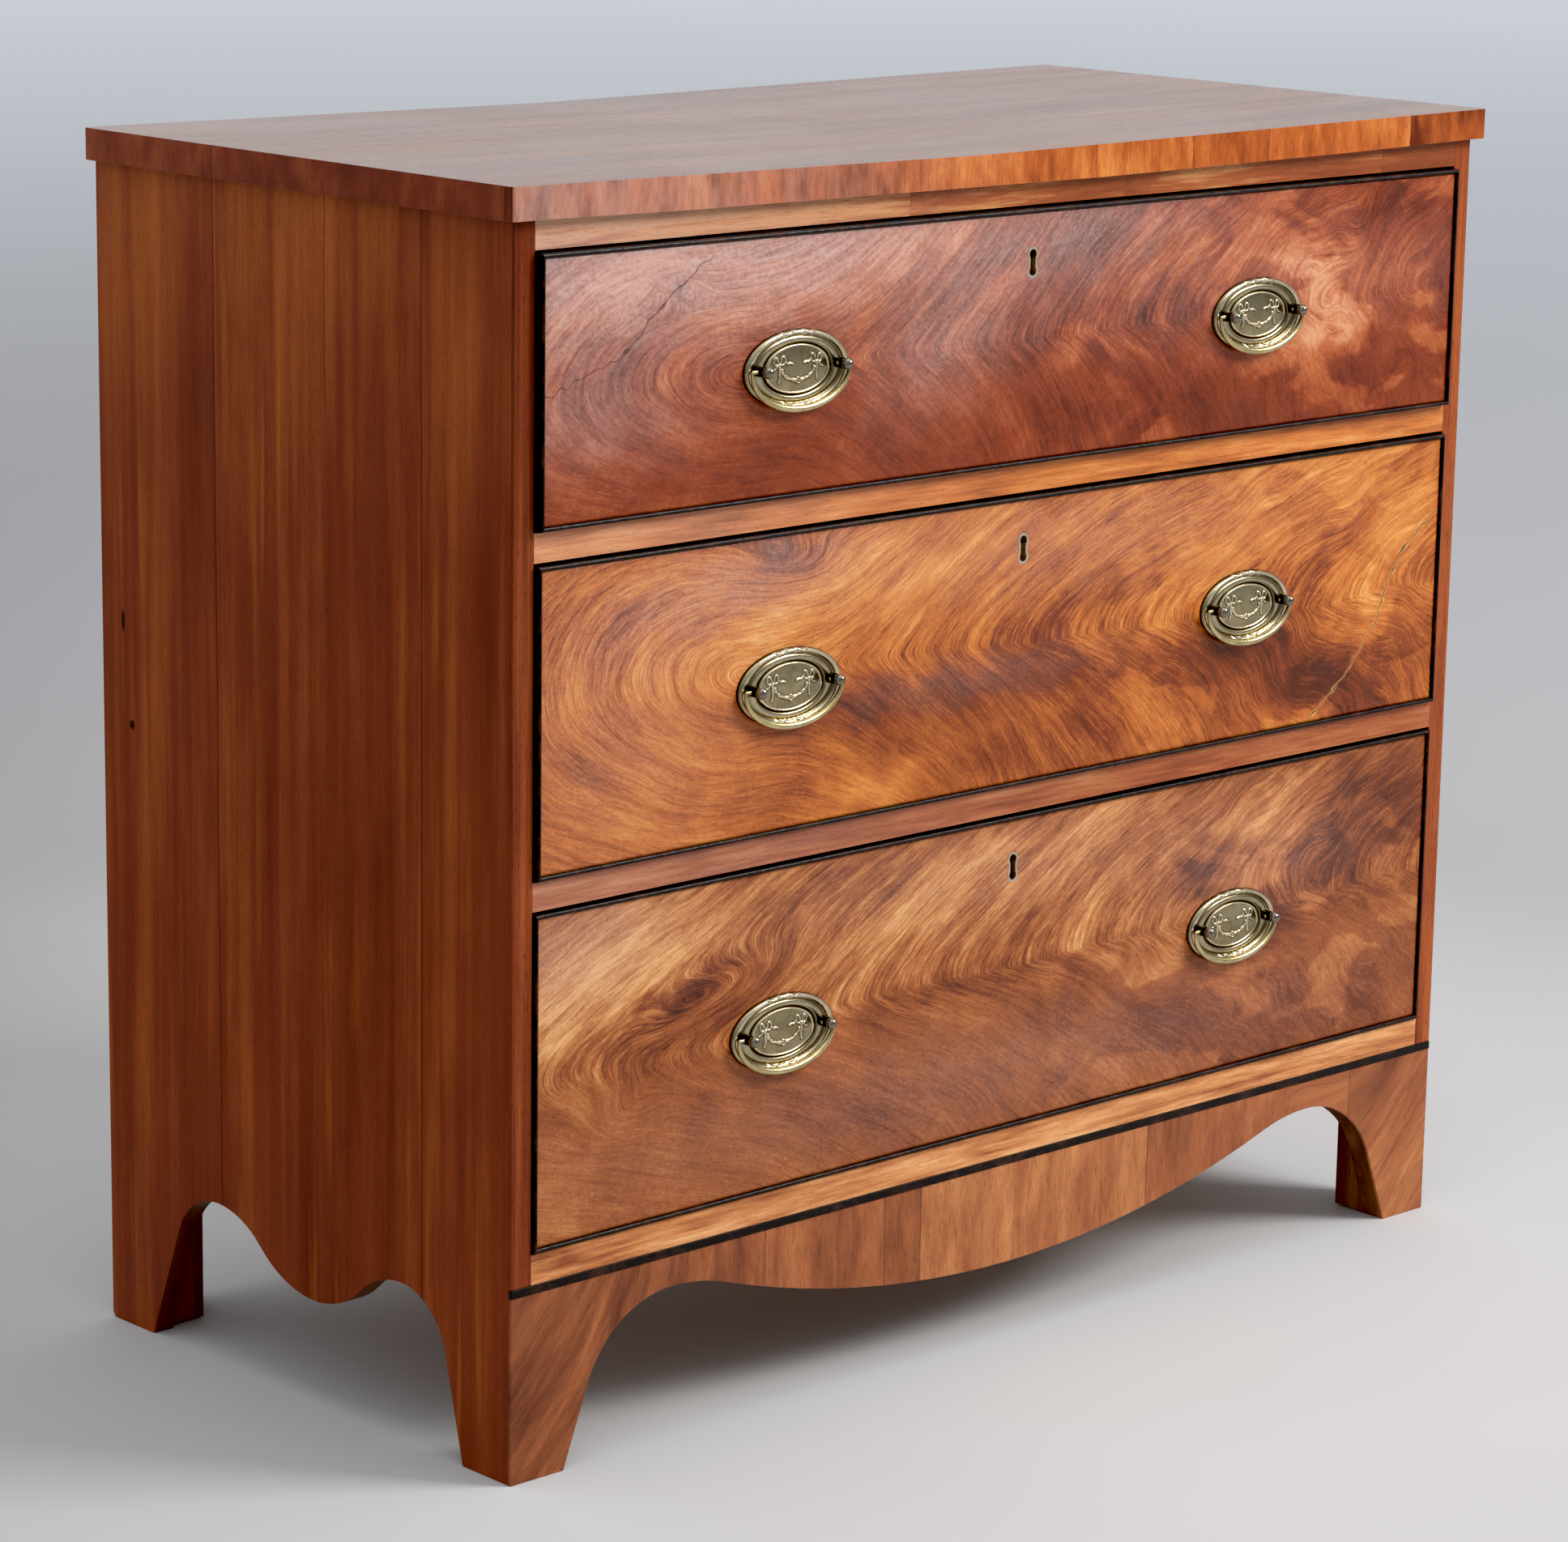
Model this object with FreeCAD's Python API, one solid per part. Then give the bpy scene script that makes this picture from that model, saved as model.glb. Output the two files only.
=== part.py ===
import FreeCAD, Part
import math
import os
from collections import namedtuple

# Chest of three graduated drawers in mahogany, on bracket feet cut in one line with the apron.
# X runs along the front, Y from the front to the back, Z up. The origin is on the floor, under the
# middle of everything that the chest reaches. All sizes are in millimetres.

Vec = FreeCAD.Vector
ALONG, BACKWARD, UP = Vec(1, 0, 0), Vec(0, 1, 0), Vec(0, 0, 1)
HALF_TURN = 180

# The whole carcass
width = 930.0
depth = 450.0
top_thickness = 22.0
top_overhang = 8.0
top_overhang_back = 2.0
top_sag = 4.0                  # how far the old top has sunk between the sides
top_corner_round = 3.0
side_thickness = 17.0
facing_thickness = 2.5         # saw-cut mahogany glued on every front edge
housing_depth = 6.0            # how far rails and boards are let into the sides
cut_overrun = 1.0              # how far a cutting solid passes the faces that it cuts

# The front, from the floor up
apron_top = 130.0
strip_height = 6.0
strip_proud = 0.6
bottom_rail_height = 21.0
rail_height = 20.0
opening_heights = (180.0, 209.0, 232.0)   # top drawer first

# Rails, boards and what the drawers run on
rail_depth = 70.0
runner_width = 35.0
dust_board_thickness = 8.0
bottom_board_thickness = 12.0
back_board_thickness = 10.0
back_rebate_width = 9.0
back_board_count = 4
back_board_gap = 0.6
stop_length = 50.0
stop_thickness = 12.0
stop_height = 6.0
stop_place = 210.0             # from the middle of the front
stop_clearance = 0.2

# Apron and feet. Places along an edge are from the foot's outer corner.
apron_thickness = 16.0
front_toe = 46.0
front_peak = (142.0, 108.5)
front_arch_radius = 80.0
front_drop_height = 56.0
front_bend_share = 0.15        # of an ogee's two bends, the share of the upper one
side_toe = 50.0
side_arch_radius = 49.0
side_front_peak = (116.0, 112.0)
side_back_peak = (128.0, 117.0)
side_drop = (212.0, 74.0)
side_bend_share = 0.45
foot_corner_round = 5.0
corner_block_width = 30.0
corner_block_lift = 1.5        # the feet stand on their faces, not on the blocks
glue_block_width = 24.0
glue_block_length = 60.0
glue_block_height = 26.0
glue_block_place = 200.0
bracket_thickness = 16.0
bracket_toe = 50.0
bracket_top = 98.0
bracket_bend_radius = 120.0

# Screws that hold the top down, up through the top rails
screw_place = 330.0
screw_length = 32.0
screw_shank_radius = 2.2
screw_head_radius = 4.6
screw_head_height = 3.2

# Drawers
drawer_prouds = (4.0, 2.0, 0.0)   # how far each closed drawer stands in front of the stiles
drawer_back_gap = 18.0         # behind a drawer that closes flush
front_thickness = 20.0
side_gap = 1.0
gap_above = 1.8
gap_below = 0.8
running_gap = 0.3
drawer_side_thickness = 10.0
drawer_side_drop = 2.0
drawer_back_thickness = 9.0
drawer_back_drop = 8.0
drawer_bottom_thickness = 6.0
drawer_bottom_lift = 8.0
groove_depth = 4.0

# Dovetails
lap_thickness = 7.0            # wood left in front of the lapped tails
tail_pitch = 46.0
tail_neck = 13.0
tail_flare = 6.0               # a tail spreads by one part in this many to each side
tail_margin = 3.0

# Cock bead round each drawer front
bead_thickness = 3.0
bead_proud = 2.5
bead_depth = 9.0

# Keyhole, its brass escutcheon and the lock behind it
keyhole_drop = 39.0            # below the top of the opening
keyhole_offset = -5.0          # the keyholes sit a little left of the middle
keyhole_lobe_radius = 3.45
keyhole_lobe_distance = 11.5
keyhole_waist = 5.0
escutcheon_wall = 1.8
escutcheon_depth = 5.0
escutcheon_proud = 0.3
lock_width = 64.0
lock_height = 54.0
lock_plate_thickness = 1.6
lock_case_width = 48.0
lock_case_height = 48.0
lock_thickness = 11.5
lock_wall = 1.5
key_pin_radius = 1.2
bolt_width = 22.0
bolt_thickness = 5.0
bolt_foot_width = 36.0
bolt_foot_height = 8.0
bolt_travel = 7.0
bolt_gap = 0.3
mortise_gap = 1.2

# Oval plates, posts and bails
handle_spread = 227.0          # from the middle of the front
handle_drop = 3.0              # below the middle of the opening
plate_half_width = 47.3
plate_half_height = 26.5
plate_rim_height = 3.4
plate_rim_width = 4.6
plate_channel_height = 1.3
plate_channel_width = 1.6
plate_ovolo_height = 2.4
plate_ovolo_width = 3.2
plate_field_radius = 16.2
plate_field_edge = 2.2
plate_field_crown = 3.0
post_spacing = 71.4
post_rise = 1.5                # above the middle of the plate
post_radius = 3.8
post_ball_radius = 4.2
post_neck_radius = 2.6
post_neck_length = 0.6
post_past_eye = 2.2            # barrel in front of the eye's middle
post_seat_height = 1.2
post_shank_radius = 2.1
post_hole_gap = 0.2
nut_radius = 6.5
nut_thickness = 3.0
nut_facets = 6
shank_end = 2.0
bail_drop = 27.5
bail_half_width = 44.0
bail_eye_reach = 6.4           # from the drawer's face to the bail's pins
bail_end_radius = 1.3
bail_middle_radius = 2.6
bail_eye_gap = 0.1
bail_arm = 1.5                 # how far an arm drops straight before the half oval starts
bail_sections = 19

# Places worked out from the sizes above
rail_count = len(opening_heights)     # one over each opening, the highest under the top
strip_top = apron_top + strip_height
floor_top = strip_top + bottom_rail_height
carcass_height = floor_top + sum(opening_heights) + rail_count * rail_height
drawer_depth = depth - back_board_thickness - drawer_back_gap
half = width / 2
inner = half - side_thickness
top_half = half + top_overhang
neck_end = bail_eye_reach + post_past_eye + post_neck_length
ball_sink = post_ball_radius - math.sqrt(post_ball_radius ** 2 - post_neck_radius ** 2)
post_reach = neck_end - ball_sink + 2 * post_ball_radius
front_reach = max(drawer_prouds) + post_reach
FACE = front_reach - (front_reach + depth + top_overhang_back) / 2
BACK = FACE + depth
rail_back = FACE + rail_depth
back_inside = BACK - back_board_thickness

Drawer = namedtuple("Drawer", "name floor ceiling proud")


def block(x0, x1, y0, y1, z0, z1):
    """A squared piece between two corners."""
    return Part.makeBox(x1 - x0, y1 - y0, z1 - z0, Vec(x0, y0, z0))


def both_sides(piece):
    """A piece on the left and its mirror image on the right."""
    return Part.makeCompound([piece, mirrored(piece)])


def mirrored(piece):
    """A left-hand piece made right-hand."""
    return piece.mirror(Vec(0, 0, 0), ALONG)


def moved(piece, x, y, z):
    """A copy of a piece, shifted."""
    return piece.translated(Vec(x, y, z))


def solid_from(edges, sweep):
    """The solid that a closed outline leaves when it is swept straight."""
    return Part.Face(Part.Wire(edges)).extrude(sweep)


def polygon_from(points, sweep):
    """The solid of a straight-edged outline."""
    return Part.Face(Part.makePolygon(list(points) + [points[0]])).extrude(sweep)


def arc(a, b, c):
    """The arc from a through b to c."""
    return Part.Arc(a, b, c).toShape()


def circle_point(centre, radius, angle):
    """The place at an angle on a circle, as two plain numbers."""
    return centre[0] + radius * math.cos(angle), centre[1] + radius * math.sin(angle)


def arch_edges(place, toe, peak, radius, drop, bend_share):
    """A foot's inner edge, its arch and the ogee down to the middle of a skirt.

    A straight line leaves the toe and touches the arch's circle. The ogee is two arcs that meet
    smoothly and end level. place() turns a distance from the corner and a height into a point.
    """
    arch = (peak[0], peak[1] - radius)
    reach = math.hypot(arch[0] - toe, arch[1])
    start = math.pi + math.atan2(arch[1], arch[0] - toe) - math.acos(radius / reach)
    top = math.pi / 2
    run, fall = drop[0] - peak[0], peak[1] - drop[1]
    bends = (run ** 2 + fall ** 2) / (2 * fall)
    turn = math.asin(run / bends)
    upper, lower = bends * bend_share, bends * (1 - bend_share)
    upper_centre, lower_centre = (peak[0], peak[1] - upper), (drop[0], drop[1] + lower)

    def on(centre, size, angle):
        return place(*circle_point(centre, size, angle))

    meeting = on(upper_centre, upper, top - turn)
    return [
        Part.makeLine(place(toe, 0), on(arch, radius, start)),
        arc(on(arch, radius, start), on(arch, radius, (start + top) / 2), place(*peak)),
        arc(place(*peak), on(upper_centre, upper, top - turn / 2), meeting),
        arc(meeting, on(lower_centre, lower, -top - turn / 2), place(*drop)),
    ]


def make_top_board():
    """The top: level over the sides, sunk between them, with softened corners."""
    y0, y1 = FACE - top_overhang, BACK + top_overhang_back

    def sunk(z):
        left, right = Vec(-inner, y0, z), Vec(inner, y0, z)
        return [Part.makeLine(Vec(-top_half, y0, z), left),
                arc(left, Vec(0, y0, z - top_sag), right),
                Part.makeLine(right, Vec(top_half, y0, z))]

    low, high = carcass_height, carcass_height + top_thickness
    ends = [Part.makeLine(Vec(x, y0, low), Vec(x, y0, high)) for x in (-top_half, top_half)]
    board = solid_from(Part.__sortEdges__(sunk(low) + sunk(high) + ends), BACKWARD * (y1 - y0))
    corners = [e for e in board.Edges if abs(e.Vertexes[0].X) > half and is_upright(e)]
    return board.makeFillet(top_corner_round, corners)


def is_upright(edge):
    """Whether an edge runs straight up."""
    ends = edge.Vertexes
    return len(ends) == 2 and abs((ends[1].Point - ends[0].Point).normalize().z) > math.cos(math.pi / 8)


def make_side(let_in):
    """The left side, down to its two feet, cut for what is let into it."""
    x0, y0 = -half, FACE + facing_thickness

    def from_front(u, z):
        return Vec(x0, FACE + u, z)

    def from_back(u, z):
        return Vec(x0, BACK - u, z)

    back_drop = (depth - side_drop[0], side_drop[1])
    heel = Vec(x0, BACK, 0)
    edges = arch_edges(from_front, side_toe, side_front_peak, side_arch_radius, side_drop,
                       side_bend_share)
    edges += arch_edges(from_back, side_toe, side_back_peak, side_arch_radius, back_drop,
                        side_bend_share)
    edges += [Part.makeLine(from_back(side_toe, 0), heel),
              Part.makeLine(heel, Vec(x0, BACK, carcass_height)),
              Part.makeLine(Vec(x0, BACK, carcass_height), Vec(x0, y0, carcass_height)),
              Part.makeLine(Vec(x0, y0, carcass_height), Vec(x0, y0, 0)),
              Part.makeLine(Vec(x0, y0, 0), from_front(side_toe, 0))]
    side = solid_from(Part.__sortEdges__(edges), ALONG * side_thickness)
    rounded = [e for e in side.Edges if runs_along(e) and e.Vertexes[0].Z < cut_overrun
               and e.Vertexes[0].Y > BACK - cut_overrun]
    side = side.makeFillet(foot_corner_round, rounded)
    for piece in let_in:
        side = side.cut(piece)
    return side


def runs_along(edge):
    """Whether an edge runs straight along the front."""
    ends = edge.Vertexes
    return len(ends) == 2 and abs((ends[1].Point - ends[0].Point).normalize().x) > math.cos(math.pi / 8)


def make_apron(y0, y1, height):
    """A board over the whole width with the apron's lower edge and the front feet."""
    def from_left(u, z):
        return Vec(u - half, y0, z)

    def from_right(u, z):
        return Vec(half - u, y0, z)

    drop = (half, front_drop_height)
    edges = []
    for place in (from_left, from_right):
        edges += arch_edges(place, front_toe, front_peak, front_arch_radius, drop, front_bend_share)
        edges += [Part.makeLine(place(front_toe, 0), place(0, 0)),
                  Part.makeLine(place(0, 0), place(0, height))]
    edges.append(Part.makeLine(from_left(0, height), from_right(0, height)))
    return solid_from(Part.__sortEdges__(edges), BACKWARD * (y1 - y0))


def make_apron_core():
    """The apron board proper, between the sides and up behind the strip."""
    y0 = FACE + facing_thickness
    y1 = y0 + apron_thickness
    return make_apron(y0, y1, strip_top).common(block(-inner, inner, y0, y1, 0, strip_top))


def make_rail(z0, z1, y0, y1):
    """A rail between the sides, its ends let in behind the stile facings."""
    tenon = inner + housing_depth
    body = block(-inner, inner, y0, y1, z0, z1)
    return body.fuse(block(-tenon, tenon, max(y0, FACE + facing_thickness), y1, z0, z1)).removeSplitter()


def make_dust_board(rail_floor):
    """A thin board that closes the space between two drawers, held in grooves."""
    reach = inner - runner_width + housing_depth
    z0 = rail_floor + (rail_height - dust_board_thickness) / 2
    return block(-reach, reach, rail_back - housing_depth, back_inside, z0, z0 + dust_board_thickness)


def make_runners(rail_floor):
    """The strips on both sides that a drawer runs on, behind a rail."""
    return both_sides(block(-inner, runner_width - inner, rail_back, back_inside,
                            rail_floor, rail_floor + rail_height))


def make_kickers(top):
    """The strips under the top that keep the upper drawer from tipping."""
    strip = block(-inner, runner_width - inner, rail_back, back_inside - rail_depth,
                  carcass_height - rail_height, carcass_height)
    return both_sides(strip.cut(top))


def make_back_panel(top):
    """Everything that the back boards fill, in the sides' rebates and under the top."""
    reach = inner + back_rebate_width
    return block(-reach, reach, back_inside, BACK, apron_top, carcass_height).cut(top)


def make_back_boards(panel):
    """The back panel as upright boards with a crack between each two."""
    reach = inner + back_rebate_width
    pitch = 2 * reach / back_board_count
    boards = []
    for i in range(back_board_count):
        x0 = i * pitch - reach + (back_board_gap / 2 if i > 0 else 0)
        x1 = (i + 1) * pitch - reach - (back_board_gap / 2 if i < back_board_count - 1 else 0)
        boards.append(panel.common(block(x0, x1, back_inside, BACK, apron_top, carcass_height)))
    return Part.makeCompound(boards)


def make_stops(drawers):
    """Blocks on the rails that meet the back of each closed drawer's front."""
    stops = []
    for drawer in drawers:
        y0 = FACE - drawer.proud + front_thickness + stop_clearance
        stop = block(-stop_place - stop_length / 2, -stop_place + stop_length / 2,
                     y0, y0 + stop_thickness, drawer.floor, drawer.floor + stop_height)
        stops.append(both_sides(stop))
    return Part.makeCompound(stops)


def make_corner_blocks():
    """Upright blocks glued inside each foot, and short ones along the apron."""
    front_y = FACE + facing_thickness + apron_thickness
    back_y = BACK - bracket_thickness
    w = corner_block_width
    front = block(-inner, w - inner, front_y, front_y + w, corner_block_lift, strip_top)
    rear = block(-inner, w - inner, back_y - w, back_y, corner_block_lift,
                 floor_top - bottom_board_thickness)
    x0 = -glue_block_place - glue_block_length / 2
    glue = block(x0, x0 + glue_block_length, front_y, front_y + glue_block_width,
                 strip_top - glue_block_height, strip_top)
    middle = moved(glue, glue_block_place, 0, 0)
    return Part.makeCompound([both_sides(front), both_sides(rear), both_sides(glue), middle])


def make_rear_bracket():
    """The plain bracket behind the left back foot, its edge hollowed to the floor."""
    y0, x0 = BACK - bracket_thickness, -inner
    toe = Vec(x0 + bracket_toe, y0, 0)
    shoulder = Vec(x0 + bracket_top, y0, apron_top)
    chord = shoulder - toe
    hollow = bracket_bend_radius - math.sqrt(bracket_bend_radius ** 2 - (chord.Length / 2) ** 2)
    inward = chord.cross(BACKWARD).normalize()
    middle = (toe + shoulder) * 0.5 + inward * hollow
    return solid_from([Part.makeLine(Vec(x0, y0, 0), toe), arc(toe, middle, shoulder),
                       Part.makeLine(shoulder, Vec(x0, y0, apron_top)),
                       Part.makeLine(Vec(x0, y0, apron_top), Vec(x0, y0, 0))],
                      BACKWARD * bracket_thickness)


def make_screw():
    """A countersunk screw standing on its head."""
    head = Part.makeCone(screw_head_radius, screw_shank_radius, screw_head_height)
    shank = Part.makeCylinder(screw_shank_radius, screw_length - screw_head_height,
                              Vec(0, 0, screw_head_height))
    return head.fuse(shank)


def make_screws():
    """Three screws up through each of the two top rails."""
    z = carcass_height - rail_height
    ys = (FACE + rail_depth / 2, back_inside - rail_depth / 2)
    return Part.makeCompound([moved(make_screw(), x, y, z)
                              for x in (-screw_place, 0, screw_place) for y in ys])


def make_keyhole(grow, y0, y1):
    """A keyhole with two lobes and a waist, seen from the front, centred on its middle."""
    radius, rise = keyhole_lobe_radius + grow, keyhole_lobe_distance / 2
    waist = keyhole_waist / 2 + grow
    hole = block(-waist, waist, y0, y1, -rise, rise)
    for z in (-rise, rise):
        hole = hole.fuse(Part.makeCylinder(radius, y1 - y0, Vec(0, y0, z), BACKWARD))
    return hole.removeSplitter()


def keyhole_height(drawer):
    """The height of a keyhole's middle."""
    return drawer.ceiling - keyhole_drop


def front_edges(drawer):
    """Half the width, the lower edge and the upper edge of a drawer front."""
    return inner - side_gap, drawer.floor + gap_below, drawer.ceiling - gap_above


def make_bead(drawer):
    """Four mitred strips with a round nose, let into the edges of the front."""
    reach, z0, z1 = front_edges(drawer)
    face = FACE - drawer.proud
    b, nose = bead_thickness, bead_thickness / 2
    tip, root, end = face - bead_proud, face - bead_proud + nose, face - bead_proud + bead_depth
    h = z1 - z0

    def strip(place, run):
        outline = [arc(place(0, root), place(nose, tip), place(b, root)),
                   Part.makeLine(place(b, root), place(b, end)),
                   Part.makeLine(place(b, end), place(0, end)),
                   Part.makeLine(place(0, end), place(0, root))]
        return solid_from(outline, run)

    def mitre(corners):
        return polygon_from([Vec(x, tip, z) for x, z in corners], BACKWARD * bead_depth)

    lower = strip(lambda t, y: Vec(-reach, y, z0 + t), ALONG * (2 * reach))
    upper = strip(lambda t, y: Vec(-reach, y, z1 - t), ALONG * (2 * reach))
    left = strip(lambda t, y: Vec(-reach + t, y, z0), UP * h)
    right = strip(lambda t, y: Vec(reach - t, y, z0), UP * h)
    low_cut = mitre([(-reach, z0), (reach, z0), (reach - b, z0 + b), (-reach + b, z0 + b)])
    high_cut = mitre([(-reach, z1), (reach, z1), (reach - b, z1 - b), (-reach + b, z1 - b)])
    left_cut = mitre([(-reach, z0), (-reach + b, z0 + b), (-reach + b, z1 - b), (-reach, z1)])
    right_cut = mitre([(reach, z0), (reach - b, z0 + b), (reach - b, z1 - b), (reach, z1)])
    return Part.makeCompound([piece.common(cut) for piece, cut in
                              ((lower, low_cut), (upper, high_cut), (left, left_cut),
                               (right, right_cut))])


def make_tails(z0, z1, y_root, length, x0):
    """A row of dovetails that spread from their root along the length's direction."""
    count = max(2, round((z1 - z0) / tail_pitch))
    pitch = (z1 - z0) / count
    neck, flare = tail_neck, abs(length) / tail_flare
    tails = []
    for i in range(count):
        z = z0 + (i + 0.5) * pitch
        tails.append(polygon_from(
            [Vec(x0, y_root, z - neck), Vec(x0, y_root + length, z - neck - flare),
             Vec(x0, y_root + length, z + neck + flare), Vec(x0, y_root, z + neck)],
            ALONG * drawer_side_thickness))
    return tails


def side_edges(drawer):
    """The lower and the upper edge of a drawer side."""
    return drawer.floor + running_gap, drawer.ceiling - gap_above - drawer_side_drop


def bottom_edges(drawer):
    """The lower and the upper face of a drawer bottom."""
    z0 = side_edges(drawer)[0] + drawer_bottom_lift
    return z0, z0 + drawer_bottom_thickness


def make_drawer_bottom(drawer):
    """The bottom, held in grooves of the sides and the front and passing under the back."""
    reach = front_edges(drawer)[0] - drawer_side_thickness + groove_depth
    y0 = FACE - drawer.proud + front_thickness
    z0, z1 = bottom_edges(drawer)
    return block(-reach, reach, y0 - groove_depth, y0 - front_thickness + drawer_depth, z0, z1)


def make_drawer_side(drawer, bottom):
    """The left drawer side, with lapped tails in front and through tails behind."""
    reach = front_edges(drawer)[0]
    z0, z1 = side_edges(drawer)
    face = FACE - drawer.proud
    root, end = face + front_thickness, face + drawer_depth
    side = block(-reach, drawer_side_thickness - reach, root, end, z0, z1)
    for tail in make_tails(z0 + tail_margin, z1 - tail_margin, root,
                           lap_thickness - front_thickness, -reach):
        side = side.fuse(tail)
    corner, tails = rear_corner(drawer, end - drawer_back_thickness)
    return side.cut(corner.cut(tails)).cut(bottom)


def rear_corner(drawer, root):
    """Where the left side and the back cross, and the side's tails in it."""
    reach = front_edges(drawer)[0]
    low, high = bottom_edges(drawer)[1], side_edges(drawer)[1] - drawer_back_drop
    corner = block(-reach, drawer_side_thickness - reach, root, root + drawer_back_thickness,
                   low, high)
    return corner, Part.makeCompound(make_tails(low, high, root, drawer_back_thickness, -reach))


def make_drawer_back(drawer):
    """The back, between the bottom and its own lower top edge, with pins at both ends."""
    reach = front_edges(drawer)[0]
    root = FACE - drawer.proud + drawer_depth - drawer_back_thickness
    low, high = bottom_edges(drawer)[1], side_edges(drawer)[1] - drawer_back_drop
    tails = both_sides(rear_corner(drawer, root)[1])
    return block(-reach, reach, root, root + drawer_back_thickness, low, high).cut(tails)


def make_lock(drawer):
    """A lock case with its inner plate, top edge plate, keyhole, bolt slot and key pin."""
    top = front_edges(drawer)[2]
    y1 = FACE - drawer.proud + front_thickness
    y0, x, t = y1 - lock_thickness, keyhole_offset, lock_plate_thickness
    case_low = top - lock_case_height
    plate = block(x - lock_width / 2, x + lock_width / 2, y1 - t, y1, top - lock_height, top)
    edge = block(x - lock_width / 2, x + lock_width / 2, y0, y1, top - t, top)
    case = block(x - lock_case_width / 2, x + lock_case_width / 2, y0, y1, case_low, top)
    room = block(x - lock_case_width / 2 + lock_wall, x + lock_case_width / 2 - lock_wall,
                 y0 + lock_wall, y1 - t, case_low + lock_wall, top - t)
    slot_half = bolt_width / 2 + bolt_gap
    y_mid = (y0 + lock_wall + y1 - t) / 2
    slot = block(x - slot_half, x + slot_half, y_mid - bolt_thickness / 2 - bolt_gap,
                 y_mid + bolt_thickness / 2 + bolt_gap, top - t - cut_overrun, top + cut_overrun)
    z = keyhole_height(drawer)
    keyhole = moved(make_keyhole(0, y0 - cut_overrun, y0 + lock_wall + cut_overrun), x, 0, z)
    pin = Part.makeCylinder(key_pin_radius, lock_thickness - t,
                            Vec(x, y0, z + keyhole_lobe_distance / 2), BACKWARD)
    return plate.fuse([edge, case]).cut(room).cut(slot).cut(keyhole).fuse(pin).removeSplitter()


def lock_outside(drawer):
    """The space that a lock takes in the drawer front."""
    top = front_edges(drawer)[2]
    y1 = FACE - drawer.proud + front_thickness
    x, t = keyhole_offset, lock_plate_thickness
    y0 = y1 - lock_thickness
    plate = block(x - lock_width / 2, x + lock_width / 2, y1 - t, y1, top - lock_height, top)
    edge = block(x - lock_width / 2, x + lock_width / 2, y0, y1, top - t, top)
    case = block(x - lock_case_width / 2, x + lock_case_width / 2, y0, y1,
                 top - lock_case_height, top)
    return plate.fuse([edge, case])


def bolt_middle(drawer):
    """How far back a lock bolt's middle lies."""
    y1 = FACE - drawer.proud + front_thickness
    return (y1 - lock_thickness + lock_wall + y1 - lock_plate_thickness) / 2


def make_bolt(drawer):
    """The bolt, flush with the drawer's top edge, on a wider foot that stays in the case."""
    top, x = front_edges(drawer)[2], keyhole_offset
    y = bolt_middle(drawer)
    y0, y1 = y - bolt_thickness / 2, y + bolt_thickness / 2
    foot_top = top - lock_plate_thickness - bolt_travel - bolt_gap
    head = block(x - bolt_width / 2, x + bolt_width / 2, y0, y1, foot_top, top)
    foot = block(x - bolt_foot_width / 2, x + bolt_foot_width / 2, y0, y1,
                 foot_top - bolt_foot_height, foot_top)
    return head.fuse(foot).removeSplitter()


def make_mortise(drawer):
    """The slot in the rail above, that the bolt locks into."""
    y, z = bolt_middle(drawer), drawer.ceiling
    half_width, half_thick = bolt_width / 2 + mortise_gap, bolt_thickness / 2 + mortise_gap
    return block(keyhole_offset - half_width, keyhole_offset + half_width,
                 y - half_thick, y + half_thick, z - cut_overrun, z + bolt_travel)


def make_plate():
    """An oval pressed plate: reeded rim, channel, ovolo and a crowned field.

    It is turned round as a disc as high as the oval and then drawn out to the oval's width, so the
    mouldings widen towards its ends. Its back lies on Y = 0.
    """
    r = plate_half_height
    rim_in = r - plate_rim_width
    channel_in = rim_in - plate_channel_width
    ovolo_in = channel_in - plate_ovolo_width
    field = plate_field_radius

    def at(radius, height):
        return Vec(radius, -height, 0)

    rim_mid, ovolo_mid = (r + rim_in) / 2, (channel_in + ovolo_in) / 2
    edges = [
        Part.makeLine(at(0, 0), at(r, 0)),
        arc(at(r, 0), at(rim_mid, plate_rim_height), at(rim_in, plate_channel_height)),
        Part.makeLine(at(rim_in, plate_channel_height), at(channel_in, plate_channel_height)),
        arc(at(channel_in, plate_channel_height), at(ovolo_mid, plate_ovolo_height),
            at(ovolo_in, plate_channel_height)),
        Part.makeLine(at(ovolo_in, plate_channel_height), at(field, plate_channel_height)),
        Part.makeLine(at(field, plate_channel_height), at(field, plate_field_edge)),
        arc(at(field, plate_field_edge), at(field / 2, (plate_field_edge + 3 * plate_field_crown) / 4),
            at(0, plate_field_crown)),
        Part.makeLine(at(0, plate_field_crown), at(0, 0)),
    ]
    disc = Part.Face(Part.Wire(edges)).revolve(Vec(0, 0, 0), BACKWARD, 2 * HALF_TURN)
    stretch = FreeCAD.Matrix()
    stretch.scale(Vec(plate_half_width / plate_half_height, 1, 1))
    plate = disc.transformGeometry(stretch)
    for x in (-post_spacing / 2, post_spacing / 2):
        seat = Part.makeCylinder(post_radius + post_hole_gap, plate_rim_height,
                                 Vec(x, -post_seat_height - plate_rim_height, post_rise), BACKWARD)
        hole = Part.makeCylinder(post_shank_radius + post_hole_gap, 2 * plate_rim_height,
                                 Vec(x, -plate_rim_height, post_rise), BACKWARD)
        plate = plate.cut(seat).cut(hole)
    return plate


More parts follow.
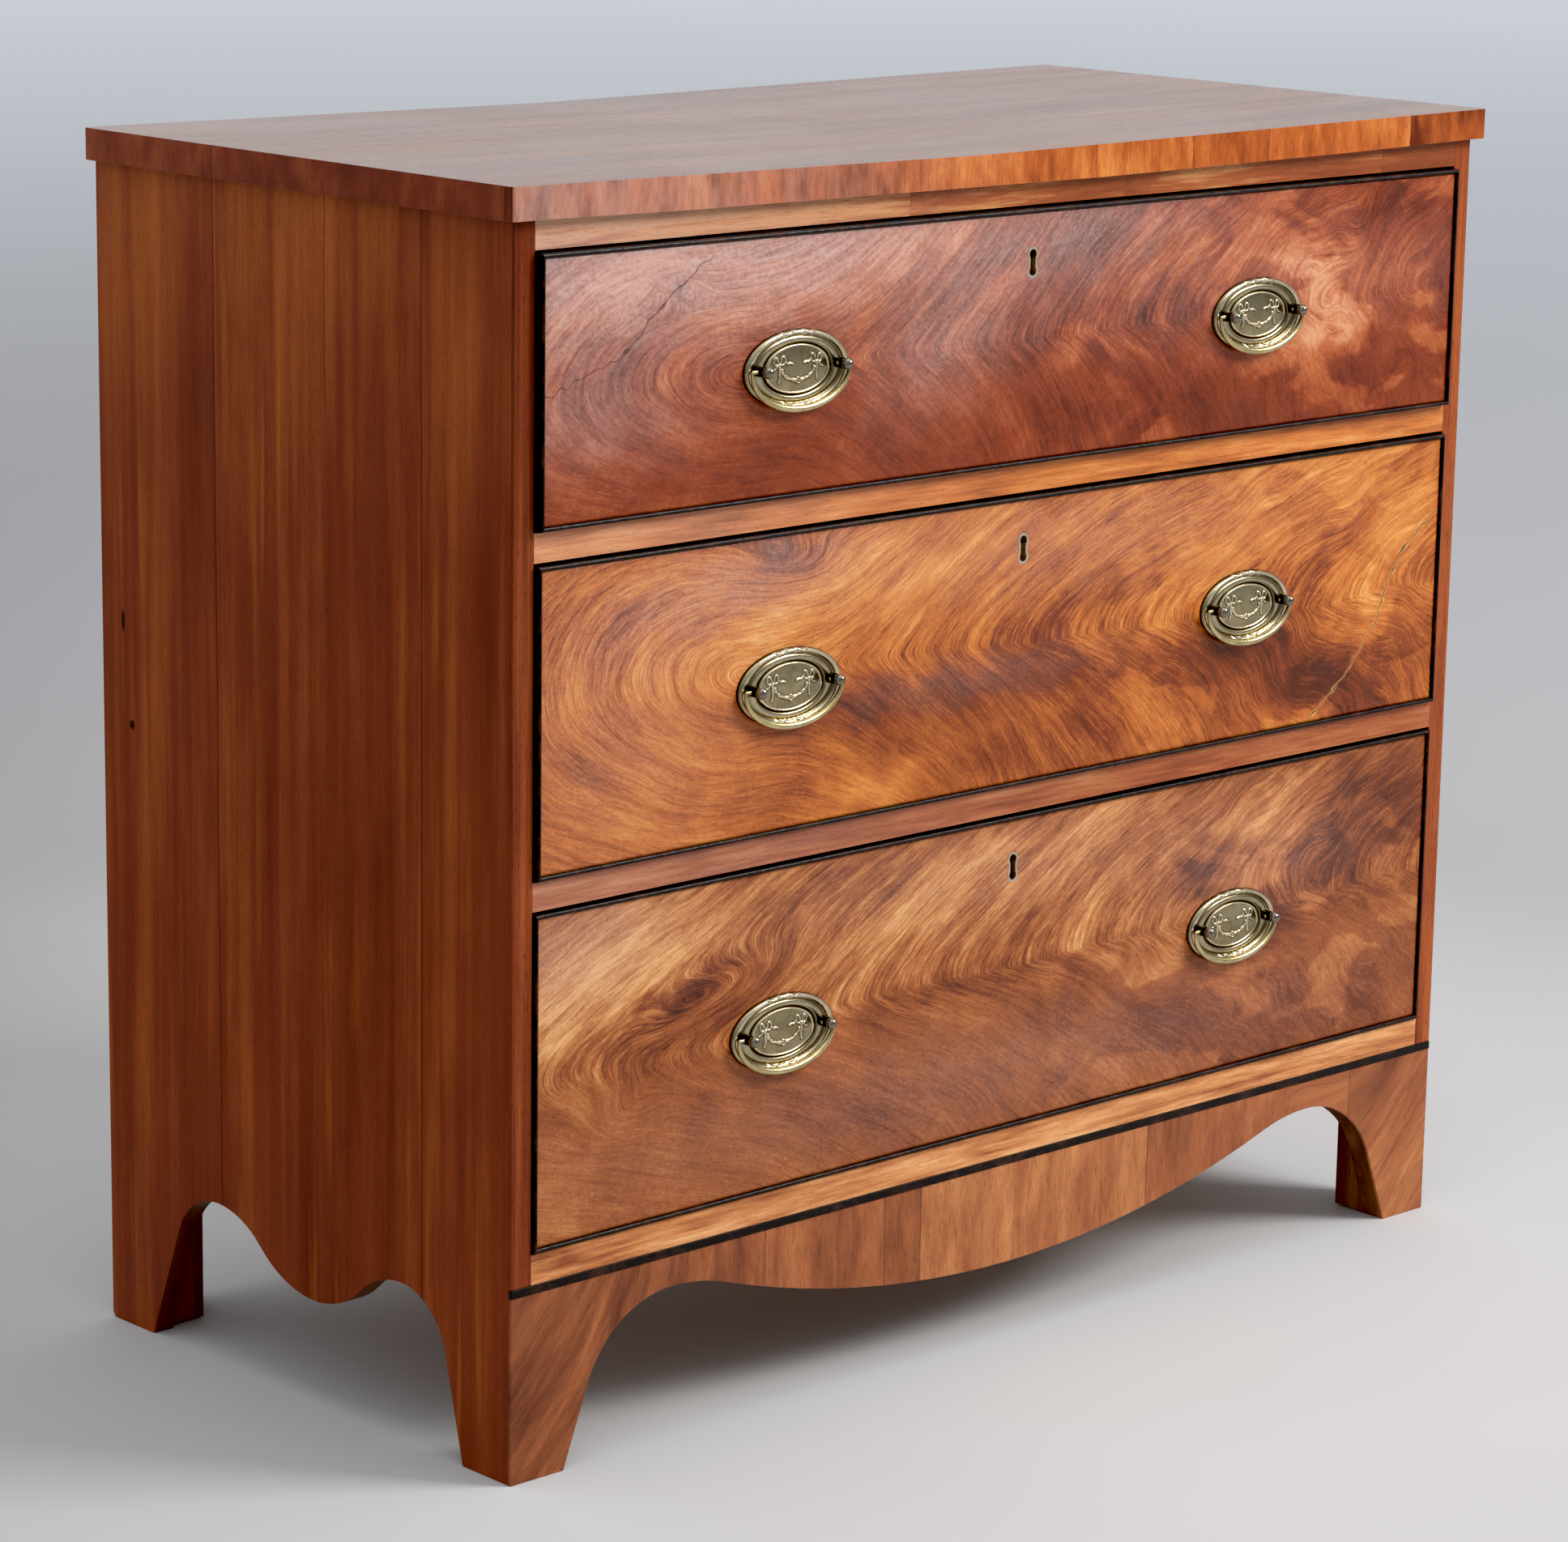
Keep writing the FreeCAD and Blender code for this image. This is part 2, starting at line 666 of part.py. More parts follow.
def make_post():
    """A turned post: ball end, neck, barrel with the bail's eye, shank with its nut behind.

    The drawer's face is Y = 0 and the post's middle is on X = 0, Z = 0.
    """
    eye, ball, tip = bail_eye_reach, post_ball_radius, post_reach
    barrel_end = eye + post_past_eye

    def at(radius, reach):
        return Vec(radius, -reach, 0)

    outline = [
        Part.makeLine(at(0, post_seat_height), at(post_radius, post_seat_height)),
        Part.makeLine(at(post_radius, post_seat_height), at(post_radius, barrel_end)),
        Part.makeLine(at(post_radius, barrel_end), at(post_neck_radius, barrel_end)),
        Part.makeLine(at(post_neck_radius, barrel_end), at(post_neck_radius, neck_end)),
        arc(at(post_neck_radius, neck_end), at(ball, tip - ball), at(0, tip)),
        Part.makeLine(at(0, tip), at(0, post_seat_height)),
    ]
    post = Part.Face(Part.Wire(outline)).revolve(Vec(0, 0, 0), BACKWARD, 2 * HALF_TURN)
    shank_back = front_thickness + nut_thickness + shank_end
    post = post.fuse(Part.makeCylinder(post_shank_radius, post_seat_height + shank_back,
                                       Vec(0, -post_seat_height, 0), BACKWARD))
    eye_hole = Part.makeCylinder(bail_end_radius + bail_eye_gap, 2 * post_radius + 2 * cut_overrun,
                                 Vec(-post_radius - cut_overrun, -eye, 0), ALONG)
    return post.cut(eye_hole)


def make_nut():
    """A small six-sided nut on a post's shank, against the back of the drawer front."""
    step = 2 * math.pi / nut_facets
    corners = [Vec(nut_radius * math.cos(i * step), front_thickness, nut_radius * math.sin(i * step))
               for i in range(nut_facets)]
    nut = polygon_from(corners, BACKWARD * nut_thickness)
    bore = Part.makeCylinder(post_shank_radius, nut_thickness + 2 * cut_overrun,
                             Vec(0, front_thickness - cut_overrun, 0), BACKWARD)
    return nut.cut(bore)


def make_bail():
    """A half-oval bail, thick below and slender at its ends, with two pins for the eyes.

    It hangs from the X axis. Its rings follow the half oval and grow with the sine of the angle.
    """
    rings, rise = [], bail_drop - bail_arm
    for i in range(bail_sections):
        angle = math.pi * i / (bail_sections - 1)
        x, z = bail_half_width * math.cos(angle), -bail_arm - rise * math.sin(angle)
        heading = Vec(-bail_half_width * math.sin(angle), 0, -rise * math.cos(angle))
        radius = bail_end_radius + (bail_middle_radius - bail_end_radius) * math.sin(angle)
        rings.append(Part.Wire(Part.makeCircle(radius, Vec(x, 0, z), heading)))
    bail = Part.makeLoft(rings, True, True)
    pin_end = post_spacing / 2 - post_radius
    for side in (-1, 1):
        elbow = Vec(side * bail_half_width, 0, 0)
        arm = Part.makeCylinder(bail_end_radius, bail_arm, elbow, -UP)
        pin = Part.makeCylinder(bail_end_radius, bail_half_width - pin_end, elbow, ALONG * -side)
        bail = bail.fuse([arm, pin, Part.makeSphere(bail_end_radius, elbow)])
    return bail


def handle_height(drawer):
    """The height of the middle of a drawer's oval plates."""
    return (drawer.floor + drawer.ceiling) / 2 - handle_drop


def make_handles(drawer):
    """The plates, the posts with their nuts, and the left and the right bail."""
    face, z = FACE - drawer.proud, handle_height(drawer)
    plates = both_sides(moved(make_plate(), -handle_spread, face, z))
    post = make_post()
    fixing = Part.makeCompound([post, make_nut()])
    fixings = []
    for x in (-handle_spread, handle_spread):
        for side in (-1, 1):
            fixings.append(moved(fixing, x + side * post_spacing / 2, face, z + post_rise))
    bails = [moved(make_bail(), x, face - bail_eye_reach, z + post_rise)
             for x in (-handle_spread, handle_spread)]
    return plates, Part.makeCompound(fixings), bails


def make_front(drawer, cutters):
    """The drawer front, cut for its bead, its escutcheon, the sides' tails and all that it holds."""
    reach, z0, z1 = front_edges(drawer)
    face = FACE - drawer.proud
    front = block(-reach, reach, face, face + front_thickness, z0, z1)
    for piece in cutters:
        front = front.cut(piece)
    keyhole = moved(make_keyhole(0, face - cut_overrun, face + front_thickness - lock_thickness),
                    keyhole_offset, 0, keyhole_height(drawer))
    front = front.cut(keyhole)
    z = handle_height(drawer) + post_rise
    for x in (-handle_spread, handle_spread):
        for side in (-1, 1):
            front = front.cut(Part.makeCylinder(
                post_shank_radius, front_thickness + 2 * cut_overrun,
                Vec(x + side * post_spacing / 2, face - cut_overrun, z), BACKWARD))
    return front


def make_escutcheon(drawer, solid=False):
    """The keyhole's brass edge, let into the front, or the space that it takes."""
    face = FACE - drawer.proud
    y0, y1 = face - escutcheon_proud, face + escutcheon_depth
    ring = make_keyhole(escutcheon_wall, y0, y1)
    if not solid:
        ring = ring.cut(make_keyhole(0, y0 - cut_overrun, y1 + cut_overrun))
    return moved(ring, keyhole_offset, 0, keyhole_height(drawer))


def make_drawer(drawer):
    """All the pieces of one drawer, by name."""
    name = drawer.name
    bottom = make_drawer_bottom(drawer)
    left = make_drawer_side(drawer, bottom)
    right = mirrored(left)
    bead = make_bead(drawer)
    plates, posts, bails = make_handles(drawer)
    cutters = [bead, left, right, bottom, lock_outside(drawer), make_escutcheon(drawer, solid=True)]
    return {
        name + "_front": make_front(drawer, cutters),
        name + "_side_left": left,
        name + "_side_right": right,
        name + "_back": make_drawer_back(drawer),
        name + "_bottom": bottom,
        name + "_cock_bead": bead,
        name + "_escutcheon": make_escutcheon(drawer),
        name + "_lock": make_lock(drawer),
        name + "_lock_bolt": make_bolt(drawer),
        name + "_plates": plates,
        name + "_posts": posts,
        name + "_bail_left": bails[0],
        name + "_bail_right": bails[1],
    }


def list_drawers():
    """The three drawers with their openings, from the top down."""
    drawers, ceiling = [], carcass_height - rail_height
    for i, (height, proud) in enumerate(zip(opening_heights, drawer_prouds)):
        drawers.append(Drawer("drawer_%d" % (i + 1), ceiling - height, ceiling, proud))
        ceiling -= height + rail_height
    return drawers


def make_carcass(drawers):
    """All the pieces that stand still, by name."""
    rail_floors = [drawer.floor - rail_height for drawer in drawers[:-1]]
    under_top = carcass_height - rail_height
    top, screws, panel_ys = make_top_board(), make_screws(), (FACE, FACE + rail_depth)
    dust_boards = [make_dust_board(z) for z in rail_floors]
    mortises = [make_mortise(drawer) for drawer in drawers]
    top_rail = make_rail(under_top, carcass_height, *panel_ys).cut(top).cut(screws).cut(mortises[0])
    back_rail = make_rail(under_top, carcass_height, back_inside - rail_depth, back_inside)
    back_rail = back_rail.cut(top).cut(screws)
    rails = [make_rail(z, z + rail_height, *panel_ys).cut(board).cut(mortise)
             for z, board, mortise in zip(rail_floors, dust_boards, mortises[1:])]
    bottom_rail = make_rail(strip_top, floor_top, *panel_ys)
    bottom_board = make_rail(floor_top - bottom_board_thickness, floor_top, rail_back, back_inside)
    runners = [make_runners(z).cut(board) for z, board in zip(rail_floors, dust_boards)]
    back_panel = make_back_panel(top)
    side = make_side([top_rail.fuse(screws).fuse(mortises[0]), back_rail, bottom_rail, bottom_board,
                      back_panel] + rails)
    stile = block(-half, -inner, FACE, FACE + facing_thickness, strip_top, carcass_height)
    strip = block(-half, half, FACE - strip_proud, FACE + facing_thickness, apron_top, strip_top)
    return {
        "top_board": top.cut(screws),
        "side_left": side,
        "side_right": mirrored(side),
        "stile_facings": both_sides(stile),
        "top_rail": top_rail,
        "top_back_rail": back_rail,
        "upper_rail": rails[0],
        "lower_rail": rails[1],
        "bottom_rail": bottom_rail,
        "bottom_board": bottom_board,
        "ebonised_strip": strip,
        "apron": make_apron_core(),
        "apron_facing": make_apron(FACE, FACE + facing_thickness, apron_top),
        "back_boards": make_back_boards(back_panel),
        "dust_boards": Part.makeCompound(dust_boards),
        "drawer_runners": Part.makeCompound(runners + [make_kickers(top)]),
        "drawer_stops": make_stops(drawers),
        "corner_blocks": make_corner_blocks(),
        "rear_brackets": both_sides(make_rear_bracket()),
        "top_screws": screws,
    }


def main():
    """Build every piece and write each to its own file."""
    os.makedirs("parts", exist_ok=True)
    drawers = list_drawers()
    pieces = make_carcass(drawers)
    for drawer in drawers:
        pieces.update(make_drawer(drawer))
    for name, piece in pieces.items():
        piece.exportStep("parts/%s.step" % name)
        print(name, len(piece.Solids), "solids,", "valid" if piece.isValid() else "not valid")


main()
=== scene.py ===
"""An early nineteenth century mahogany chest of drawers, dressed for its picture.

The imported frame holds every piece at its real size. This script gives the pieces their woods and
metals, lays the figured veneers on the drawer fronts, makes the pressed handle plates, the bails and
the eased edges, and sets out the floor, the light and the camera.
"""
from __future__ import annotations

import logging
import math
from dataclasses import dataclass, replace
from enum import Enum
from functools import cache

import bmesh
import bpy
import numpy as np
from mathutils import Matrix, Vector


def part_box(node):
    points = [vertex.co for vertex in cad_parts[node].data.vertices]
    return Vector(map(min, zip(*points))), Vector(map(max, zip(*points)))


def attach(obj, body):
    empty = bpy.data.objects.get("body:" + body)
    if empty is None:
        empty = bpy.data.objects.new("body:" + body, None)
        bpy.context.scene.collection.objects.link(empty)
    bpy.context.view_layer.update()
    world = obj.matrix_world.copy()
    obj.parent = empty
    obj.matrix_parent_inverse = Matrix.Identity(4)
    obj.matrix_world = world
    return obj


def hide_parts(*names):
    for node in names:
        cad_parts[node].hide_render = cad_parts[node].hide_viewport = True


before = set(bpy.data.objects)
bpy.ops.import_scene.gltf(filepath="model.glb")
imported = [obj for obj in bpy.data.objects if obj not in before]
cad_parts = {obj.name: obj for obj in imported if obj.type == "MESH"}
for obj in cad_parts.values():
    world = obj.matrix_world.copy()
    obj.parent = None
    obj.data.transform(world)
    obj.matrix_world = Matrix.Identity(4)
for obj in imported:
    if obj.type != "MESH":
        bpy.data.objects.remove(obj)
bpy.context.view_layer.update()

log = logging.getLogger("chest")

MM = 0.001
FULL_TURN = 2 * math.pi
MIDDLE = 0.5
SIDES = {"left": -1, "right": 1}
HANDLE_SPREAD = 227.0

Colour = tuple[float, float, float]
Socket = bpy.types.NodeSocket
Material = bpy.types.Material
Grid = np.ndarray


def ink(red: float, green: float, blue: float) -> tuple[float, float, float, float]:
    """Turns a screen colour into opaque light: channel / 255 through the screen's curve.

    Args:
        red, green, blue: its channels, 0 to 255.

    Returns:
        The light's channels and 1.
    """
    shares = [channel / 255 for channel in (red, green, blue)]
    light = [s / 12.92 if s <= 0.04045 else ((s + 0.055) / 1.055) ** 2.4 for s in shares]
    return (light[0], light[1], light[2], 1.0)


def tint(colour: object) -> object:
    """A screen colour as light, or the socket that gives one as it is."""
    return ink(*colour) if isinstance(colour, tuple) else colour


def ease(value: Grid, low: float, high: float) -> Grid:
    """A smooth step, t squared times three less twice t, from 0 at low to 1 at high, the larger or not."""
    t = np.clip((value - low) / (high - low), 0.0, 1.0)
    return t * t * (3 - 2 * t)


class Grain(Enum):
    """Which way the grain of a board runs."""

    ALONG_X = 0
    ALONG_Y = 1
    ALONG_Z = 2

    def stretched(self, across: float, along: float) -> Colour:
        """The scale of a pattern that is stretched along the grain.

        Args:
            across, along: the pattern's width and length in metres.

        Returns:
            The scale on each axis.
        """
        scale = [1 / across] * 3
        scale[self.value] = 1 / along
        return (scale[0], scale[1], scale[2])


class NodeTree:
    """Sets out nodes; most methods hand back the socket that the next one reads."""

    def __init__(self, owner: Material | bpy.types.World, surface: str, output: str, places: str) -> None:
        """Starts with what a tree has at its two ends.

        Args:
            owner: whose tree it is.
            surface, output: the types of its last two nodes.
            places: which of the coordinates it reads.
        """
        owner.use_nodes = True
        self.nodes, self.links = owner.node_tree.nodes, owner.node_tree.links
        self.nodes.clear()
        self.shader = self.add(surface)
        self.add(output, self.shader.outputs[0])
        self.place = self.add("TexCoord").outputs[places]
        self.axes = tuple(self.add("SeparateXYZ", self.place).outputs)

    def feed(self, socket: Socket, value: object) -> None:
        """Joins a socket to another one, or sets its number, colour or vector."""
        if isinstance(value, bpy.types.NodeSocket):
            self.links.new(value, socket)
        else:
            socket.default_value = value

    def add(self, kind: str, *values: object, **settings: object) -> bpy.types.Node:
        """Adds a node.

        Args:
            kind: its type, without the word ShaderNode before it.
            values: what feeds each of its inputs, in order.
            settings: its other settings by name.

        Returns:
            The node.
        """
        node = self.nodes.new(f"ShaderNode{kind}")
        for name, value in settings.items():
            setattr(node, name, value)
        for socket, value in zip(node.inputs, values):
            self.feed(socket, value)
        return node

    def math(self, operation: str, *values: object) -> Socket:
        """One step of arithmetic."""
        return self.add("Math", *values, operation=operation).outputs[0]

    def times(self, first: object, second: object, plus: object = 0.0) -> Socket:
        """The product of two numbers, plus a third."""
        return self.math("MULTIPLY_ADD", first, second, plus)

    def step(self, value: object, low: float, high: float, start: float = 0.0, end: float = 1.0) -> Socket:
        """A smooth step from start, where value is low, to end, where it is high."""
        node = self.add("MapRange", value, low, high, start, end, interpolation_type="SMOOTHSTEP")
        return node.outputs[0]


class FinishTree(NodeTree):
    """The nodes of one finish."""

    def __init__(self, name: str) -> None:
        """Starts a material of that name."""
        self.material = bpy.data.materials.new(name)
        super().__init__(self.material, "BsdfPrincipled", "OutputMaterial", "Object")

    def mapped(self, scale: Colour, shift: Colour = (0, 0, 0), lean: float = 0.0,
               vector: Socket | None = None) -> Socket:
        """The place, or another vector, scaled, shifted, and leaned by degrees about the Y axis."""
        turn = (0, math.radians(lean), 0)
        return self.add("Mapping", vector or self.place, shift, turn, scale).outputs[0]

    def joined(self, x: object, y: object, z: object) -> Socket:
        """A vector made of three numbers."""
        return self.add("CombineXYZ", x, y, z).outputs[0]

    def noise(self, vector: Socket, detail: float = 2.0, rough: float = 0.5, warp: float = 0.0) -> Socket:
        """Soft noise about 0.5, with one wave for each unit of a vector.

        Args:
            vector: the place in the noise.
            detail, rough, warp: how many finer waves, how strong they are, and how bent it is.

        Returns:
            The noise.
        """
        node = self.add("TexNoise", vector)
        for name, value in (("Scale", 1.0), ("Detail", detail), ("Roughness", rough), ("Distortion", warp)):
            node.inputs[name].default_value = value
        return node.outputs[0]

    def less(self, first: object, second: object) -> Socket:
        """The first number less the second."""
        return self.math("SUBTRACT", first, second)

    def apart(self, first: object, second: object) -> Socket:
        """How far apart two numbers are."""
        return self.math("ABSOLUTE", self.less(first, second))

    def swung(self, base: object, *parts: tuple[Socket, float]) -> Socket:
        """A number moved by noises, each less its middle and times its weight."""
        for part, weight in parts:
            base = self.times(self.less(part, MIDDLE), weight, base)
        return base

    def ramp(self, value: Socket, *stops: tuple[float, Colour]) -> Socket:
        """Looks a number up in a row of colours.

        Args:
            value: the number.
            stops: each colour's place from 0 to 1, and the colour.

        Returns:
            The colour.
        """
        node = self.add("ValToRGB", value)
        row = node.color_ramp.elements
        row[0].position, row[1].position = stops[0][0], stops[-1][0]
        row[0].color, row[1].color = ink(*stops[0][1]), ink(*stops[-1][1])
        for position, colour in stops[1:-1]:
            row.new(position).color = ink(*colour)
        return node.outputs[0]

    def mix(self, share: object, first: object, second: object, blend: str = "MIX") -> Socket:
        """Mixes two colours.

        Args:
            share: 0 for none of the second and 1 for all of it.
            first, second: the colours.
            blend: how the second is laid on the first.

        Returns:
            The mixture.
        """
        node = self.add("Mix", share, data_type="RGBA", blend_type=blend, clamp_factor=True)
        self.feed(node.inputs[6], tint(first))
        self.feed(node.inputs[7], tint(second))
        return node.outputs[2]

    def drawn(self, name: str) -> Socket:
        """A number that the mesh holds at its points."""
        return self.add("Attribute", attribute_name=name).outputs["Fac"]

    def lines(self, coordinate: Socket, places: tuple[float, ...], half_width: float) -> Socket:
        """Thin lines across a coordinate.

        Args:
            coordinate: what they cross.
            places: where they are.
            half_width: how far they fade out.

        Returns:
            1 on the lines and 0 elsewhere.
        """
        total: object = 0.0
        for place in places:
            total = self.math("MAXIMUM", total, self.step(self.apart(coordinate, place), half_width, 0.0))
        return total

    def bump(self, height: Socket, depth: float, under: Socket | None = None) -> Socket:
        """Tilts the surface by a height.

        Args:
            height: the height, from 0 to 1.
            depth: what a height of 1 stands for, in metres.
            under: the tilt that it is added to.

        Returns:
            The tilt.
        """
        node = self.add("Bump")
        node.inputs["Distance"].default_value = depth
        self.feed(node.inputs["Height"], height)
        if under is not None:
            self.feed(node.inputs["Normal"], under)
        return node.outputs[0]

    def close(self, colour: object, rough: object, **others: object) -> Material:
        """Ends the finish.

        Args:
            colour, rough: its colour and roughness.
            others: the shader's other sockets, by name with _ for a space.

        Returns:
            The material.
        """
        for name, value in {"Base_Color": tint(colour), "Roughness": rough, **others}.items():
            self.feed(self.shader.inputs[name.replace("_", " ")], value)
        return self.material


@dataclass(frozen=True)
class SolidWood:
    """Straight-grained polished wood, read from the place on the piece.

    Broad bands, narrow streaks and short pores are all noise stretched along the grain. Board joints
    shift the pattern and draw a thin dark line. A painted sheen, a pale painted reflection of the light,
    may lighten the piece towards one end.
    """

    name: str
    dark: Colour
    middle: Colour
    light: Colour
    grain: Grain
    band: float = 0.030
    streak: float = 0.006
    length: float = 0.60
    contrast: float = 1.0
    rough: float = 0.30
    gloss: float = 0.0
    shine: float = 0.3
    shift: float = 0.0
    lean: float = 0.0
    feet_lean: float = 0.0
    joint_axis: int = 0
    joints: tuple[float, ...] = ()
    joint_shade: float = 0.7
    joint_half: float = 0.0009
    board_tones: tuple[float, ...] = (0.0,)
    gold: float = 0.0
    pore: float = 0.45
    foot_shade: float = 0.0
    crown: float = 0.0
    clouds: float = 0.0
    # Painted sheen, a pale painted reflection of the light: where along X it is strongest, where it has
    # faded out, and its greatest share.
    painted_sheen_span: Colour | None = None
    dents: tuple[tuple[float, float, float, float], ...] = ()
    check: tuple[float, float] | None = None
    gold_colour: Colour = (206, 120, 48)
    joint_colour: Colour = (30, 14, 8)
    hole_colour: Colour = (26, 12, 7)
    # The pale colour of the painted sheen.
    painted_sheen_colour: Colour = (216, 184, 174)

    def material(self) -> Material:
        """Builds the finish."""
        tree = FinishTree(self.name)
        x, y, z = tree.axes
        across = tree.axes[self.joint_axis]
        jump: object = self.shift
        level: object = self.board_tones[0] + MIDDLE
        for index, place in enumerate(self.joints):
            past = tree.math("GREATER_THAN", across, place)
            jump = tree.times(past, 3.7 + 1.9 * index, jump)
            if len(self.board_tones) > 1:
                level = tree.times(past, self.board_tones[index + 1] - self.board_tones[index], level)
        aside = jump
        if self.feet_lean:
            out = tree.step(tree.math("ABSOLUTE", x), 0.26, 0.42, 0.0, -self.feet_lean)
            aside = tree.times(out, z, jump)
        moved = tree.add("VectorMath", tree.place, tree.joined(aside, jump, jump)).outputs[0]

        def layer(wide: float, long: float, detail: float = 2.0, rough: float = 0.5, warp: float = 0.0
                  ) -> Socket:
            """Noise stretched along the grain."""
            scale = self.grain.stretched(wide, long)
            return tree.noise(tree.mapped(scale, lean=self.lean, vector=moved), detail, rough, warp)

        bands = layer(self.band, self.length, 3.0, 0.55, 0.3)
        streaks = layer(self.streak, self.length * 0.5, 4.0, 0.6, 0.1)
        mottle = layer(0.09, 0.16, 3.0, 0.6)
        fine = layer(0.0011, 0.045, 2.0, 0.6)
        if self.foot_shade:
            level = tree.less(level, tree.step(z, 0.34, 0.0, 0.0, self.foot_shade))
        if self.crown:
            level = tree.math("ADD", level, tree.step(z, 0.60, 0.82, 0.0, self.crown))
        tone = tree.swung(level, (bands, 1.5 * self.contrast), (streaks, 1.1 * self.contrast),
                          (mottle, 0.8 * self.contrast), (fine, 0.35 * self.contrast))
        colour = tree.ramp(tone, (0.08, self.dark), (0.5, self.middle), (0.92, self.light))
        if self.gold:
            glow = tree.step(layer(self.band * 0.35, self.length * 0.45), 0.56, 0.74)
            share = tree.times(glow, tree.step(layer(0.12, 0.25), 0.40, 0.62))
            colour = tree.mix(tree.times(share, self.gold), colour, self.gold_colour)
        pores = tree.step(layer(0.0006, 0.007, 1.0), 0.60, 0.70)
        colour = tree.mix(tree.times(pores, self.pore), colour, self.dark)
        if self.joints:
            wander = tree.less(tree.times(tree.noise(tree.mapped((9, 9, 9))), 0.0016, across), 0.0008)
            line = tree.lines(wander, self.joints, self.joint_half)
            colour = tree.mix(tree.times(line, self.joint_shade), colour, self.joint_colour)
        # Painted sheen: a pale painted reflection of the light, strongest at one end along X and fading out,
        # broken up by the streaks.
        if self.painted_sheen_span:
            start, end, most = self.painted_sheen_span
            share = tree.times(tree.step(x, end, start, 0.0, most), tree.step(streaks, 0.25, 0.65, 0.5, 1.0))
            colour = tree.mix(share, colour, self.painted_sheen_colour)
        for middle_y, middle_z, reach_y, reach_z in self.dents:
            beside = tree.times(tree.less(y, middle_y), 1 / reach_y)
            up = tree.times(tree.less(z, middle_z), 1 / reach_z)
            away = tree.swung(tree.times(beside, beside, tree.times(up, up)), (fine, 1.2))
            colour = tree.mix(tree.step(away, 1.2, 0.5, 0.0, 0.9), colour, self.hole_colour)
        if self.check:
            place, foot = self.check
            line = tree.lines(tree.times(mottle, 0.006, tree.less(y, 0.003)), (place,), 0.0007)
            share = tree.times(tree.times(line, tree.step(z, foot, foot + 0.02)), 0.8)
            colour = tree.mix(share, colour, self.hole_colour)
        rough = tree.times(pores, 0.15, tree.times(mottle, 0.16, self.rough - 0.08))
        tilt = tree.bump(streaks, 0.00025, tree.bump(pores, -0.00012))
        gloss: object = self.gloss
        if self.clouds:
            cloud = tree.noise(tree.mapped((5, 9, 9), vector=moved), 4.0, 0.6, 0.5)
            gloss = tree.step(cloud, 0.36, 0.64, self.gloss - self.clouds, self.gloss + self.clouds)
        return tree.close(colour, rough, Normal=tilt, Coat_Weight=gloss, Coat_Roughness=0.18,
                          Specular_IOR_Level=self.shine)


